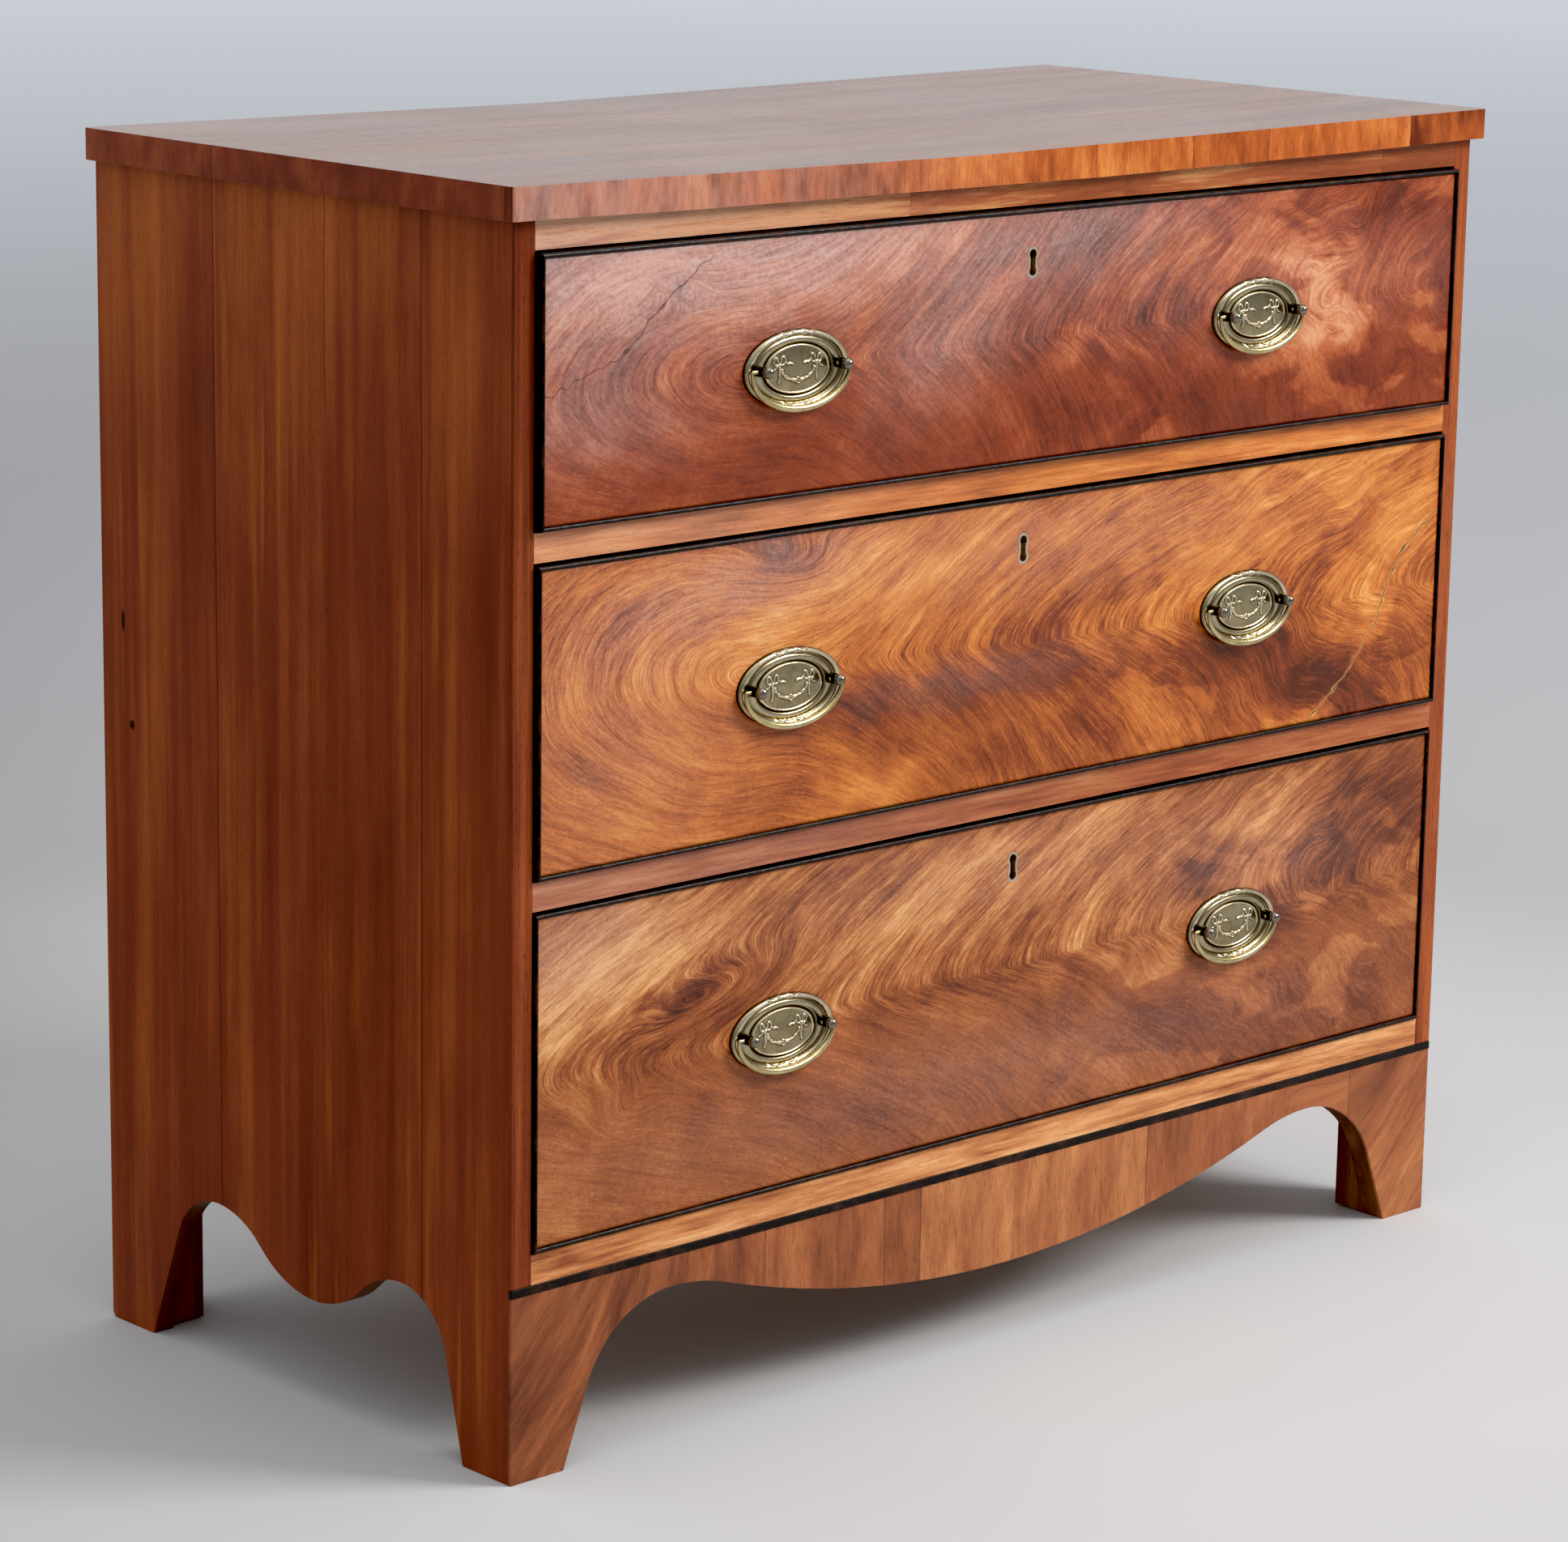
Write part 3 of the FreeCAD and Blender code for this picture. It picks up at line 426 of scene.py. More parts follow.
@dataclass(frozen=True)
class FlameVeneer:
    """Crotch mahogany, whose figure follows the number grain that the veneer's mesh holds.

    Along one line of the grain that number is constant, so noise of it that hardly changes with the
    place gives plumes and streaks that follow the figure.
    """

    name: str
    dark: Colour
    brown: Colour
    middle: Colour
    light: Colour
    pale: Colour
    shift: float
    plume: float = 1.0
    crack_edge: float = 0.0
    rough: float = 0.27
    # The pale colour of the painted sheen, a painted reflection of the light on the polish.
    bloom: Colour = (214, 180, 172)
    crack: Colour = (38, 20, 15)

    def material(self) -> Material:
        """Builds the finish."""
        tree = FinishTree(self.name)
        grain, crowd, near = tree.drawn("grain"), tree.drawn("crowd"), tree.drawn("split")
        x, _, z = tree.axes

        def flow(across: float, along: float, detail: float, rough: float, seed: float, warp: float = 0.0
                 ) -> Socket:
            """Noise that is across wide in the grain number and along long on the veneer."""
            vector = tree.joined(tree.times(grain, 1 / across), tree.times(x, 1 / along, seed + self.shift),
                                 tree.times(z, 1 / along, seed))
            return tree.noise(vector, detail, rough, warp)

        def both(across: float, along: float, detail: float, rough: float, seed: float, warp: float = 0.0
                 ) -> Socket:
            """A fine flow where the grain spreads and a wide one where it crowds."""
            narrow = flow(across, along, detail, rough, seed, warp)
            wide = flow(across * 4, along, detail, rough, seed + 5, warp)
            return tree.times(tree.less(wide, narrow), crowd, narrow)

        def cloud(scale: Colour, detail: float, rough: float, warp: float = 0.0, shift: Colour = (0, 0, 0),
                  lean: float = 0.0) -> Socket:
            """Noise on the veneer that doesn't follow its figure."""
            return tree.noise(tree.mapped(scale, shift, lean), detail, rough, warp)

        plumes = both(0.019, 0.085, 4.0, 0.62, 1.3, 0.35)
        broad = both(0.080, 0.22, 2.0, 0.5, 4.1)
        streaks = both(0.0050, 0.040, 4.0, 0.7, 7.7, 0.25)
        rings = both(0.0016, 0.020, 3.0, 0.7, 2.9, 0.2)
        contour = tree.step(tree.apart(both(0.014, 0.30, 2.0, 0.5, 9.4), MIDDLE), 0.012, 0.0)
        glints = tree.step(both(0.0090, 0.14, 3.0, 0.6, 6.2), 0.55, 0.72)
        mottle = cloud((18, 18, 18), 4.0, 0.6, 0.6, (self.shift, 0, 0))
        speckle = cloud((330, 330, 420), 3.0, 0.7, 0.0, (self.shift, 1, 0))
        patches = cloud((11, 11, 20), 4.0, 0.5, 0.7, (self.shift, 2, 5), 25)
        patches = tree.step(patches, 0.49, 0.58, -0.13, 0.17)
        swing = tree.swung(tree.times(contour, -0.14, tree.times(glints, 0.13)), (plumes, self.plume),
                           (broad, 0.75), (streaks, 0.85), (rings, 0.95))
        tone = tree.swung(tree.times(swing, tree.drawn("life"), MIDDLE), (mottle, 0.40), (speckle, 0.30))
        tone = tree.math("ADD", tree.times(patches, tree.drawn("patch"), tone), tree.drawn("tone"))
        colour = tree.ramp(tone, (0.04, self.dark), (0.27, self.brown), (0.50, self.middle),
                           (0.74, self.light), (0.98, self.pale))
        pores = tree.step(flow(0.0008, 0.010, 1.0, 0.5, 3.1), 0.60, 0.72)
        colour = tree.mix(tree.times(pores, 0.30), colour, self.dark)
        # Painted sheen: the veneer is lightened towards a pale colour where the mesh holds it, as a painted
        # reflection of the light, broken up by the streaks and the speckle.
        bloom = tree.times(tree.drawn("bloom"), tree.step(streaks, 0.25, 0.65, 0.5, 1.0))
        colour = tree.mix(tree.times(bloom, tree.step(speckle, 0.3, 0.7, 0.7, 1.2)), colour, self.bloom)
        gap = tree.math("ABSOLUTE", tree.swung(tree.drawn("gap"), (cloud((260, 260, 260), 3.0, 0.7), 0.16)))
        rubbed = tree.times(tree.step(gap, 0.16, 0.05), tree.times(near, self.crack_edge))
        colour = tree.mix(rubbed, colour, self.pale)
        crack = tree.times(tree.step(gap, 0.055, 0.025), near)
        colour = tree.mix(tree.times(crack, 0.85), colour, self.crack)
        scratches = cloud((160, 160, 900), 2.0, 0.7, lean=38)
        colour = tree.mix(tree.times(tree.step(scratches, 0.70, 0.80), 0.15), colour, self.pale)
        rough = tree.times(plumes, 0.12, tree.times(mottle, 0.20, self.rough - 0.16))
        tilt = tree.bump(mottle, 0.0012, tree.bump(crack, -0.0004))
        return tree.close(colour, rough, Normal=tree.bump(pores, -0.00008, tilt), Coat_Weight=0.06,
                          Coat_Roughness=0.14, Specular_IOR_Level=0.32)


@dataclass(frozen=True)
class Ebonised:
    """Black-stained wood with a soft shine, rubbed brown in places."""

    name: str
    worn: Colour
    black: Colour = (20, 13, 10)

    def material(self) -> Material:
        """Builds the finish."""
        tree = FinishTree(self.name)
        cloud = tree.noise(tree.mapped((55, 55, 55)), 4.0, 0.65)
        fine = tree.noise(tree.mapped((260, 700, 700)), 3.0, 0.6)
        share = tree.times(tree.step(tree.times(fine, 0.3, cloud), 0.62, 0.86), 0.5)
        return tree.close(tree.mix(share, self.black, self.worn), tree.times(cloud, 0.25, 0.22),
                          Normal=tree.bump(fine, 0.0003), Specular_IOR_Level=0.25)


@dataclass(frozen=True)
class OldBrass:
    """Brass that has darkened in its hollows and is rubbed bright on its high places.

    The number height, where the mesh holds one, is 0 in a hollow and 1 on a high place.
    """

    name: str
    bright: Colour
    dull: Colour
    hollow: Colour
    rough: float
    raised: bool = False

    def material(self) -> Material:
        """Builds the finish."""
        tree = FinishTree(self.name)
        cloud = tree.noise(tree.mapped((70, 70, 70)), 4.0, 0.65, 0.5)
        grit = tree.noise(tree.mapped((900, 900, 900)), 3.0, 0.6)
        colour = tree.mix(tree.times(tree.step(cloud, 0.38, 0.66), 0.6), self.bright, self.dull)
        rough = tree.times(cloud, 0.18, self.rough - 0.09)
        if self.raised:
            height = tree.swung(tree.drawn("height"), (grit, 0.25))
            shade = tree.ramp(height, (0.04, self.hollow), (0.28, (122, 108, 82)), (0.46, (184, 180, 166)),
                              (0.85, (255, 255, 255)))
            colour = tree.mix(1.0, colour, shade, "MULTIPLY")
            rough = tree.math("ADD", rough, tree.step(height, 0.45, 0.1, 0.0, 0.2))
        colour = tree.mix(tree.times(tree.step(grit, 0.66, 0.76), 0.4), colour, self.hollow)
        return tree.close(colour, rough, Normal=tree.bump(grit, 0.00006), Metallic=1.0)


@dataclass(frozen=True)
class PostBrass:
    """A post's brass: nearly black along its barrel and bright on its ball end."""

    name: str
    ball_from: float
    barrel: Colour = (58, 46, 34)
    ball: Colour = (140, 132, 120)

    def material(self) -> Material:
        """Builds the finish."""
        tree = FinishTree(self.name)
        cloud = tree.noise(tree.mapped((300, 300, 300)), 3.0, 0.6)
        ball = tree.step(tree.axes[1], self.ball_from, self.ball_from - 0.5 * MM)
        rough = tree.times(cloud, 0.15, tree.step(ball, 0.0, 1.0, 0.30, 0.08))
        return tree.close(tree.mix(ball, self.barrel, self.ball), rough, Metallic=1.0)


@dataclass(frozen=True)
class Iron:
    """Dark wrought iron, slightly rusty."""

    name: str

    def material(self) -> Material:
        """Builds the finish."""
        tree = FinishTree(self.name)
        cloud = tree.noise(tree.mapped((120, 120, 120)), 5.0, 0.65)
        colour = tree.ramp(cloud, (0.35, (62, 60, 60)), (0.55, (84, 78, 74)), (0.75, (112, 72, 46)))
        return tree.close(colour, tree.step(cloud, 0.3, 0.7, 0.42, 0.75), Normal=tree.bump(cloud, 0.0003),
                          Metallic=0.85)


Finish = SolidWood | FlameVeneer | Ebonised | OldBrass | PostBrass | Iron


@cache
def made(finish: Finish) -> Material:
    """The material of a finish, built the first time that it is asked for."""
    return finish.material()


@dataclass(frozen=True)
class Spot:
    """An oval spot on a veneer, in millimetres: what it adds in its middle, and its turn in degrees."""

    x: float
    z: float
    reach_x: float
    reach_z: float
    adds: float
    turn: float = 0.0

    def bell(self, x: Grid, z: Grid) -> Grid:
        """What it adds at each place: adds times e to the minus square of the distance in its reaches.

        Args:
            x, z: places on the face.

        Returns:
            The amounts.
        """
        angle = math.radians(self.turn)
        dx, dz = x - self.x, z - self.z
        along = (dx * math.cos(angle) + dz * math.sin(angle)) / self.reach_x
        up = (dz * math.cos(angle) - dx * math.sin(angle)) / self.reach_z
        return self.adds * np.exp(-along * along - up * up)


def spots(*rows: tuple[float, ...]) -> tuple[Spot, ...]:
    """Spots from rows of their numbers."""
    return tuple(Spot(*row) for row in rows)


@dataclass(frozen=True)
class Crack:
    """A mended crack in a veneer, through a few points in millimetres; its depth is 1 at the most."""

    points: tuple[tuple[float, float], ...]
    depth: float = 1.0


def wobble(x: Grid, z: Grid, size: float, seed: float) -> Grid:
    """A smooth uneven field between about -1 and 1: four sines of slanted directions, averaged.

    Args:
        x, z: the places.
        size: the length of its longest wave.
        seed: what makes one field differ from another.

    Returns:
        The field.
    """
    total = np.zeros_like(x)
    for index in range(4):
        angle = seed + 2.4 * index
        pace = FULL_TURN / (size * (1 - 0.17 * index))
        total += np.sin(pace * (x * math.cos(angle) + z * math.sin(angle)) + 1.7 * seed * (index + 1))
    return total / 2.4


def distance_to(x: Grid, z: Grid, points: Grid) -> Grid:
    """The distance from each place to a run of straight pieces: the least over its pieces.

    Args:
        x, z: the places.
        points: the corners of the run, one a row.

    Returns:
        The distances.
    """
    best = np.full(x.shape, np.inf)
    for start, end in zip(points[:-1], points[1:]):
        run = end - start
        share = ((x - start[0]) * run[0] + (z - start[1]) * run[1]) / max(float(run @ run), 1e-12)
        share = np.clip(share, 0.0, 1.0)
        best = np.minimum(best, np.hypot(x - start[0] - share * run[0], z - start[1] - share * run[1]))
    return best


@dataclass(frozen=True)
class Fan:
    """How the grain leaves the spine on one side of it, in millimetres.

    At the height d it has moved sideways by lean (root of (d d + round round) less round), which is
    a rounded slope, plus arch (1 less e to the minus d / reach), which leaves the spine flat and
    then turns down.
    """

    lean: float
    round: float
    arch: float = 0.0
    reach: float = 22.0

    def offset(self, height: Grid) -> Grid:
        """How far the grain has moved sideways at each height."""
        slope = self.lean * (np.sqrt(height * height + self.round * self.round) - self.round)
        return slope + self.arch * (1 - np.exp(-height / self.reach))


@dataclass(frozen=True)
class Figure:
    """The figure of one drawer's veneer, in millimetres from the middle of its face.

    The grain fans out of a spine, level + slope x + curve x x, upwards and downwards. Its number is x
    less the fan's offset at the height from the spine; the left end's fan turns into the right end's
    between the two joins. An eye (centre, squash, opening) closes the left end's grain into ovals.
    Knots then bend the whole. The fields from calm on say how strong the figure is, and where.
    """

    spine: tuple[float, float, float]
    up: tuple[Fan, Fan]
    down: tuple[Fan, Fan]
    join: tuple[float, float]
    knots: tuple[Spot, ...]
    marks: tuple[Spot, ...]
    # Spots of painted sheen, a painted reflection of the light on the polish.
    blooms: tuple[Spot, ...]
    calm: float
    stir: float
    patchiness: float
    still: float = 0.0
    eye: tuple[float, float, float] | None = None
    crack: Crack | None = None

    def height(self, x: Grid, z: Grid) -> Grid:
        """The height above the spine: z less the spine's own height there, a little uneven."""
        level, slope, curve = self.spine
        return z - (level + slope * x + curve * x * x) + 3.0 * wobble(x, z, 190.0, 0.7)

    def life(self, x: Grid, z: Grid) -> Grid:
        """How strong the figure is: 1 above the spine, fading to calm below it and on the right."""
        fading = 1 - self.still * ease(x, 40.0, 240.0)
        return fading * (self.calm + (1 - self.calm) * ease(self.height(x, z), -30.0, 0.0))

    def number(self, x: Grid, z: Grid) -> Grid:
        """The number that is constant along each line of the grain.

        Args:
            x, z: places on the face.

        Returns:
            The grain number in millimetres.
        """
        height = self.height(x, z)
        share = ease(x, *self.join)
        total = x
        for side, fans in ((1.0, self.up), (-1.0, self.down)):
            left, right = (fan.offset(np.maximum(side * height, 0.0)) for fan in fans)
            total = total - left - (right - left) * share
        if self.eye:
            centre, squash, opening = self.eye
            left, past = np.minimum(x - centre, 0.0), np.maximum(x - centre, 0.0)
            past = np.where(past < opening, past * past / (2 * opening), past - opening / 2)
            ovals = centre + past - np.sqrt(left * left + (squash * height) ** 2 + 64.0)
            total = ovals + (total - ovals) * share
        for knot in self.knots:
            total = total + knot.bell(x, z)
        stirred = self.stir * ease(x, 40.0, 330.0)
        total = total + stirred * (wobble(x, z, 150.0, 2.1) + 0.5 * wobble(x, z, 62.0, 4.4))
        return total + 1.2 * (wobble(x, z, 90.0, 1.1) + 0.5 * wobble(x, z, 37.0, 3.3))

    @staticmethod
    def shade(marks: tuple[Spot, ...], x: Grid, z: Grid) -> Grid:
        """The sum of some spots, bent by a wobble."""
        bent_x, bent_z = x + 7.0 * wobble(x, z, 70.0, 5.2), z + 5.0 * wobble(x, z, 55.0, 0.4)
        return sum(mark.bell(bent_x, bent_z) for mark in marks)

    def split(self, x: Grid, z: Grid) -> tuple[Grid, Grid]:
        """Where the crack runs.

        Args:
            x, z: places on the face.

        Returns:
            The distance from the crack in centimetres, below 0 on one side of it, and 1 near the
            crack and 0 elsewhere.
        """
        if not self.crack:
            return np.ones_like(x), np.zeros_like(x)
        bent_x, bent_z = x + 1.6 * wobble(x, z, 21.0, 2.2), z + 1.2 * wobble(x, z, 13.0, 0.9)
        points = np.array(self.crack.points)
        gap = distance_to(bent_x, bent_z, points)
        order = np.argsort(points[:, 1])
        side = np.sign(bent_x - np.interp(bent_z, points[order, 1], points[order, 0]))
        low, high = points[:, 1].min(), points[:, 1].max()
        within = ease(bent_z, low - 2, low + 2) * ease(bent_z, high + 2, high - 2)
        return np.where(gap < 10, side * gap / 10, 1.0), ease(gap, 9.0, 6.0) * within * self.crack.depth


def new_piece(name: str, points: Grid, faces: list, finish: Material, **numbers: Grid) -> bpy.types.Object:
    """Puts points and faces into a mesh and that into the scene.

    Args:
        name: the piece's name.
        points: one point a row, in metres.
        faces: one face a row.
        finish: its material.
        numbers: what its points hold for the finish to read, by name.

    Returns:
        The new object.
    """
    mesh = bpy.data.meshes.new(name)
    mesh.from_pydata(points.tolist(), [], faces)
    mesh.update()
    mesh.polygons.foreach_set("use_smooth", np.ones(len(mesh.polygons), dtype=bool))
    for key, values in numbers.items():
        layer = mesh.attributes.new(key, "FLOAT", "POINT")
        layer.data.foreach_set("value", np.ascontiguousarray(values, dtype=np.float32).ravel())
    mesh.materials.append(finish)
    piece = bpy.data.objects.new(name, mesh)
    bpy.context.scene.collection.objects.link(piece)
    return piece


def net(rows: int, columns: int, closed: bool = False) -> Grid:
    """The four-cornered faces of a grid of points.

    Args:
        rows, columns: how many rows of points there are, and how many points a row.
        closed: whether the last column joins the first.

    Returns:
        One face a row.
    """
    across = columns if closed else columns - 1
    row, column = np.meshgrid(np.arange(rows - 1), np.arange(across), indexing="ij")
    after = (column + 1) % columns
    first, second = row * columns, (row + 1) * columns
    faces = np.stack([first + column, first + after, second + after, second + column], axis=-1)
    return faces.reshape(-1, 4)


def spokes(*corners: object) -> list:
    """Faces from the arrays of their corners, of which one may be a single point for all of them."""
    return np.stack(np.broadcast_arrays(*corners), axis=-1).tolist()


def reshaped(piece: bpy.types.Object, merge: bool) -> None:
    """Turns all faces of a closed mesh outwards.

    Args:
        piece: the piece.
        merge: whether its loose triangles are first merged into whole flat faces.
    """
    shell = bmesh.new()
    shell.from_mesh(piece.data)
    if merge:
        bmesh.ops.remove_doubles(shell, verts=shell.verts, dist=1e-6)
        flat = math.radians(0.6)
        bmesh.ops.dissolve_limit(shell, angle_limit=flat, verts=shell.verts, edges=shell.edges)
    bmesh.ops.recalc_face_normals(shell, faces=shell.faces)
    shell.to_mesh(piece.data)
    shell.free()


def mounted(piece: bpy.types.Object, body: str, slot: str, *nodes: str) -> None:
    """Rides a piece on its body and hides the nodes in whose place it is.

    Args:
        piece: the piece.
        body: the body.
        slot: not used.
        nodes: the nodes in whose place it is.
    """
    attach(piece, body)
    for node in nodes:
        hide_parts(node)
    log.info("%s: %d points", piece.name, len(piece.data.vertices))


@dataclass
class HandlePlate:
    """The pressed oval plates of one drawer: a raised rim, a hollow, a bead and a crowned middle.

    The mouldings are a profile of the share of the way from the middle to the edge. Two bows, a
    swag of husks with a rosette and the ribbon wraps on the rim are bars of round section laid on it.
    """

    half_width: float = 47.3
    half_height: float = 26.5
    rings: int = 112
    turns: int = 288
    field_share: float = 0.612
    rim_height: float = 3.4
    rim_from: float = 0.84
    ground: float = 1.2
    bead_height: float = 1.5
    bead_from: float = 0.655
    bead_to: float = 0.83
    bow_across: float = 16.6
    bow_up: float = 3.6
    swag_reach: float = 14.6
    swag_drop: float = 8.8
    wrap_height: float = 0.75
    wrap_middle: float = 0.912
    wrap_reach: float = 0.088
    wrap_width: float = 0.042
    wrap_apart: float = 0.034

    def moulding(self, share: Grid) -> Grid:
        """The height of the mouldings: round bumps for rim and bead, a shallow dome for the middle.

        Args:
            share: 0 at the middle of the oval and 1 at its edge.

        Returns:
            The height in millimetres.
        """
        def bump(low: float, high: float, height: float) -> Grid:
            """A half round between two shares."""
            t = (2 * share - low - high) / (high - low)
            return height * np.sqrt(np.clip(1 - t * t, 0, 1))

        low, high = self.field_share - 0.040, self.field_share + 0.006
        floor = np.maximum(ease(share, 0.78, 0.86), bump(self.bead_from, self.bead_to, self.bead_height))
        hollow = np.where(share < 0.9, self.ground + floor, 0.0)
        dome = np.where(share < self.field_share, 2.15 + 0.85 * (1 - (share / self.field_share) ** 2), 0.0)
        border = np.where((share > low) & (share < high), 2.2 + bump(low, high, 0.55), 0.0)
        return np.max([hollow, dome, border, bump(self.rim_from, 1.001, self.rim_height)], axis=0)

    def ornament(self, x: Grid, z: Grid) -> tuple[Grid, Grid]:
        """The height of the bows and the swag over the plate.

        Each bar of half width w adds h times the root of one less (d / w) squared, d being the
        distance from its middle line.

        Args:
            x, z: places on the plate in millimetres.

        Returns:
            The height in millimetres, and the distance from the nearest bar's edge.
        """
        total, nearest = np.zeros_like(x), np.full_like(x, np.inf)

        def bar(points: object, half_width: float, height: float, side: int = 1,
                start: tuple[float, float] = (0.0, 0.0)) -> None:
            """Lays one bar along a run of points from its start, to the right or to the left."""
            distance = distance_to(x, z, np.array(points) * (side, 1) + start)
            gap = distance / half_width
            np.maximum(total, height * np.sqrt(np.clip(1 - gap * gap, 0, 1)), out=total)
            np.minimum(nearest, distance - half_width, out=nearest)

        def oval(rx: float, rz: float, lean: float, count: int) -> Grid:
            """A run of count points round an oval that leans by lean degrees."""
            t, angle = np.linspace(0, FULL_TURN, count), math.radians(lean)
            px, pz = rx * np.cos(t), rz * np.sin(t)
            return np.stack([px * math.cos(angle) - pz * math.sin(angle),
                             px * math.sin(angle) + pz * math.cos(angle)], axis=-1)

        for side in (-1, 1):
            bow_x, bow_z = bow = (side * self.bow_across, self.bow_up)
            bar(oval(1.9, 2.9, side * 16, 17), 0.72, 0.8, start=(bow_x - side * 3.1, bow_z + 2.9))
            bar(oval(1.9, 2.8, side * -22, 17), 0.72, 0.8, start=(bow_x + side * 3.0, bow_z + 2.6))
            bar([[0.0, 0.0], [0.0, -0.5]], 1.25, 1.0, side, bow)
            bar([[0.0, 0.0], [0.3, -3.5], [-0.3, -7.0], [0.8, -11.3]], 1.0, 0.85, side, bow)
            bar([[0.0, 0.0], [2.4, -0.8], [4.2, -2.6], [6.4, -3.4]], 0.75, 0.7, side, bow)
            bar([[-5.0, 2.6], [-7.2, 0.6], [-9.4, 0.9], [-11.6, 0.2]], 0.95, 0.85, side, bow)
            for index in range(1, 6):
                turn = side * index * 0.262
                slope = math.atan2(self.swag_drop * math.sin(turn), self.swag_reach * math.cos(turn))
                run = np.array([math.cos(slope), math.sin(slope)]) * (1.0 if index % 2 else 0.6)
                husk = (self.swag_reach * math.sin(turn), 1.4 - self.swag_drop * math.cos(turn))
                bar([-run, run], 1.35 if index % 2 else 0.95, 1.0, start=husk)
        bar(oval(1.75, 2.0, 0.0, 13), 0.55, 0.9, start=(0.0, -7.4))
        bar([[0.0, -7.2], [0.0, -7.6]], 0.6, 0.7)
        return total, nearest

    def wraps(self, angle: Grid, share: Grid) -> Grid:
        """The crossed ribbons on the rim, at the top and the bottom of the oval.

        A ribbon crosses the rim's width while it goes round by a small angle: its distance is that
        between the angle and a slanted line.

        Args:
            angle: the angle round the oval, as the grid has it.
            share: 0 at the middle of the oval and 1 at its edge.

        Returns:
            The height that the ribbons add.
        """
        past = share - self.wrap_middle
        total = np.zeros_like(share)
        for middle in (0.25, 0.75):
            for slant in (-1, 1):
                for offset in (-self.wrap_apart, self.wrap_apart):
                    line = (middle + offset) * FULL_TURN + slant * past * 1.5
                    gap = np.abs(angle - line) / self.wrap_width
                    total = np.maximum(total, np.sqrt(np.clip(1 - gap * gap, 0, 1)))
        return self.wrap_height * total * np.sqrt(np.clip(1 - (past / self.wrap_reach) ** 2, 0, 1))

    def surface(self) -> tuple[Grid, list, Grid]:
        """One plate about the middle of its back: a grid of rings by turns.

        Ring i is the oval scaled by its share; its height is moulding plus ornament plus wraps. High
        places and the bars are worn bright, and a line round each bar is left dark.

        Returns:
            The points in metres, the faces, and the height share of each point.
        """
        share = np.linspace(0, 1, self.rings + 1)[1:] ** 0.92
        shares, angles = np.meshgrid(share, np.linspace(0, FULL_TURN, self.turns, endpoint=False),
                                     indexing="ij")
        x = self.half_width * shares * np.cos(angles)
        z = self.half_height * shares * np.sin(angles)
        base, wraps = self.moulding(shares), self.wraps(angles, shares)
        relief, nearest = self.ornament(x, z)
        relief = relief * ease(shares, self.field_share - 0.03, self.field_share - 0.08)
        points = np.stack([x, -(base + relief + wraps), z], axis=-1).reshape(-1, 3)
        count, last = len(points), len(points) - self.turns
        crown = [0.0, -float(self.moulding(np.zeros(1))[0]), 0.0]
        points = np.vstack([points, points[last:] * (1, 0, 1), [crown, [0.0, 0.0, 0.0]]]) * MM
        turn = np.arange(self.turns)
        after = (turn + 1) % self.turns
        faces = net(self.rings, self.turns, closed=True).tolist()
        faces += spokes(last + turn, last + after, count + after, count + turn)
        faces += spokes(after, turn, count + self.turns)
        faces += spokes(count + turn, count + after, count + self.turns + 1)
        worn = np.clip((base - 1.0) / 2.9, 0, 1)
        ground = 0.46 - 0.34 * np.exp(-(nearest / 0.45) ** 2)
        worn = np.where(shares < self.field_share - 0.045, ground, worn)
        worn = np.where(np.abs(shares - self.field_share + 0.018) < 0.02, 0.95, worn)
        worn = np.max([worn, np.clip(relief * 1.9, 0, 1), np.clip(wraps * 1.9, 0, 1)], axis=0)
        return points, faces, np.concatenate([worn.ravel(), np.zeros(self.turns), [0.5, 0.0]])


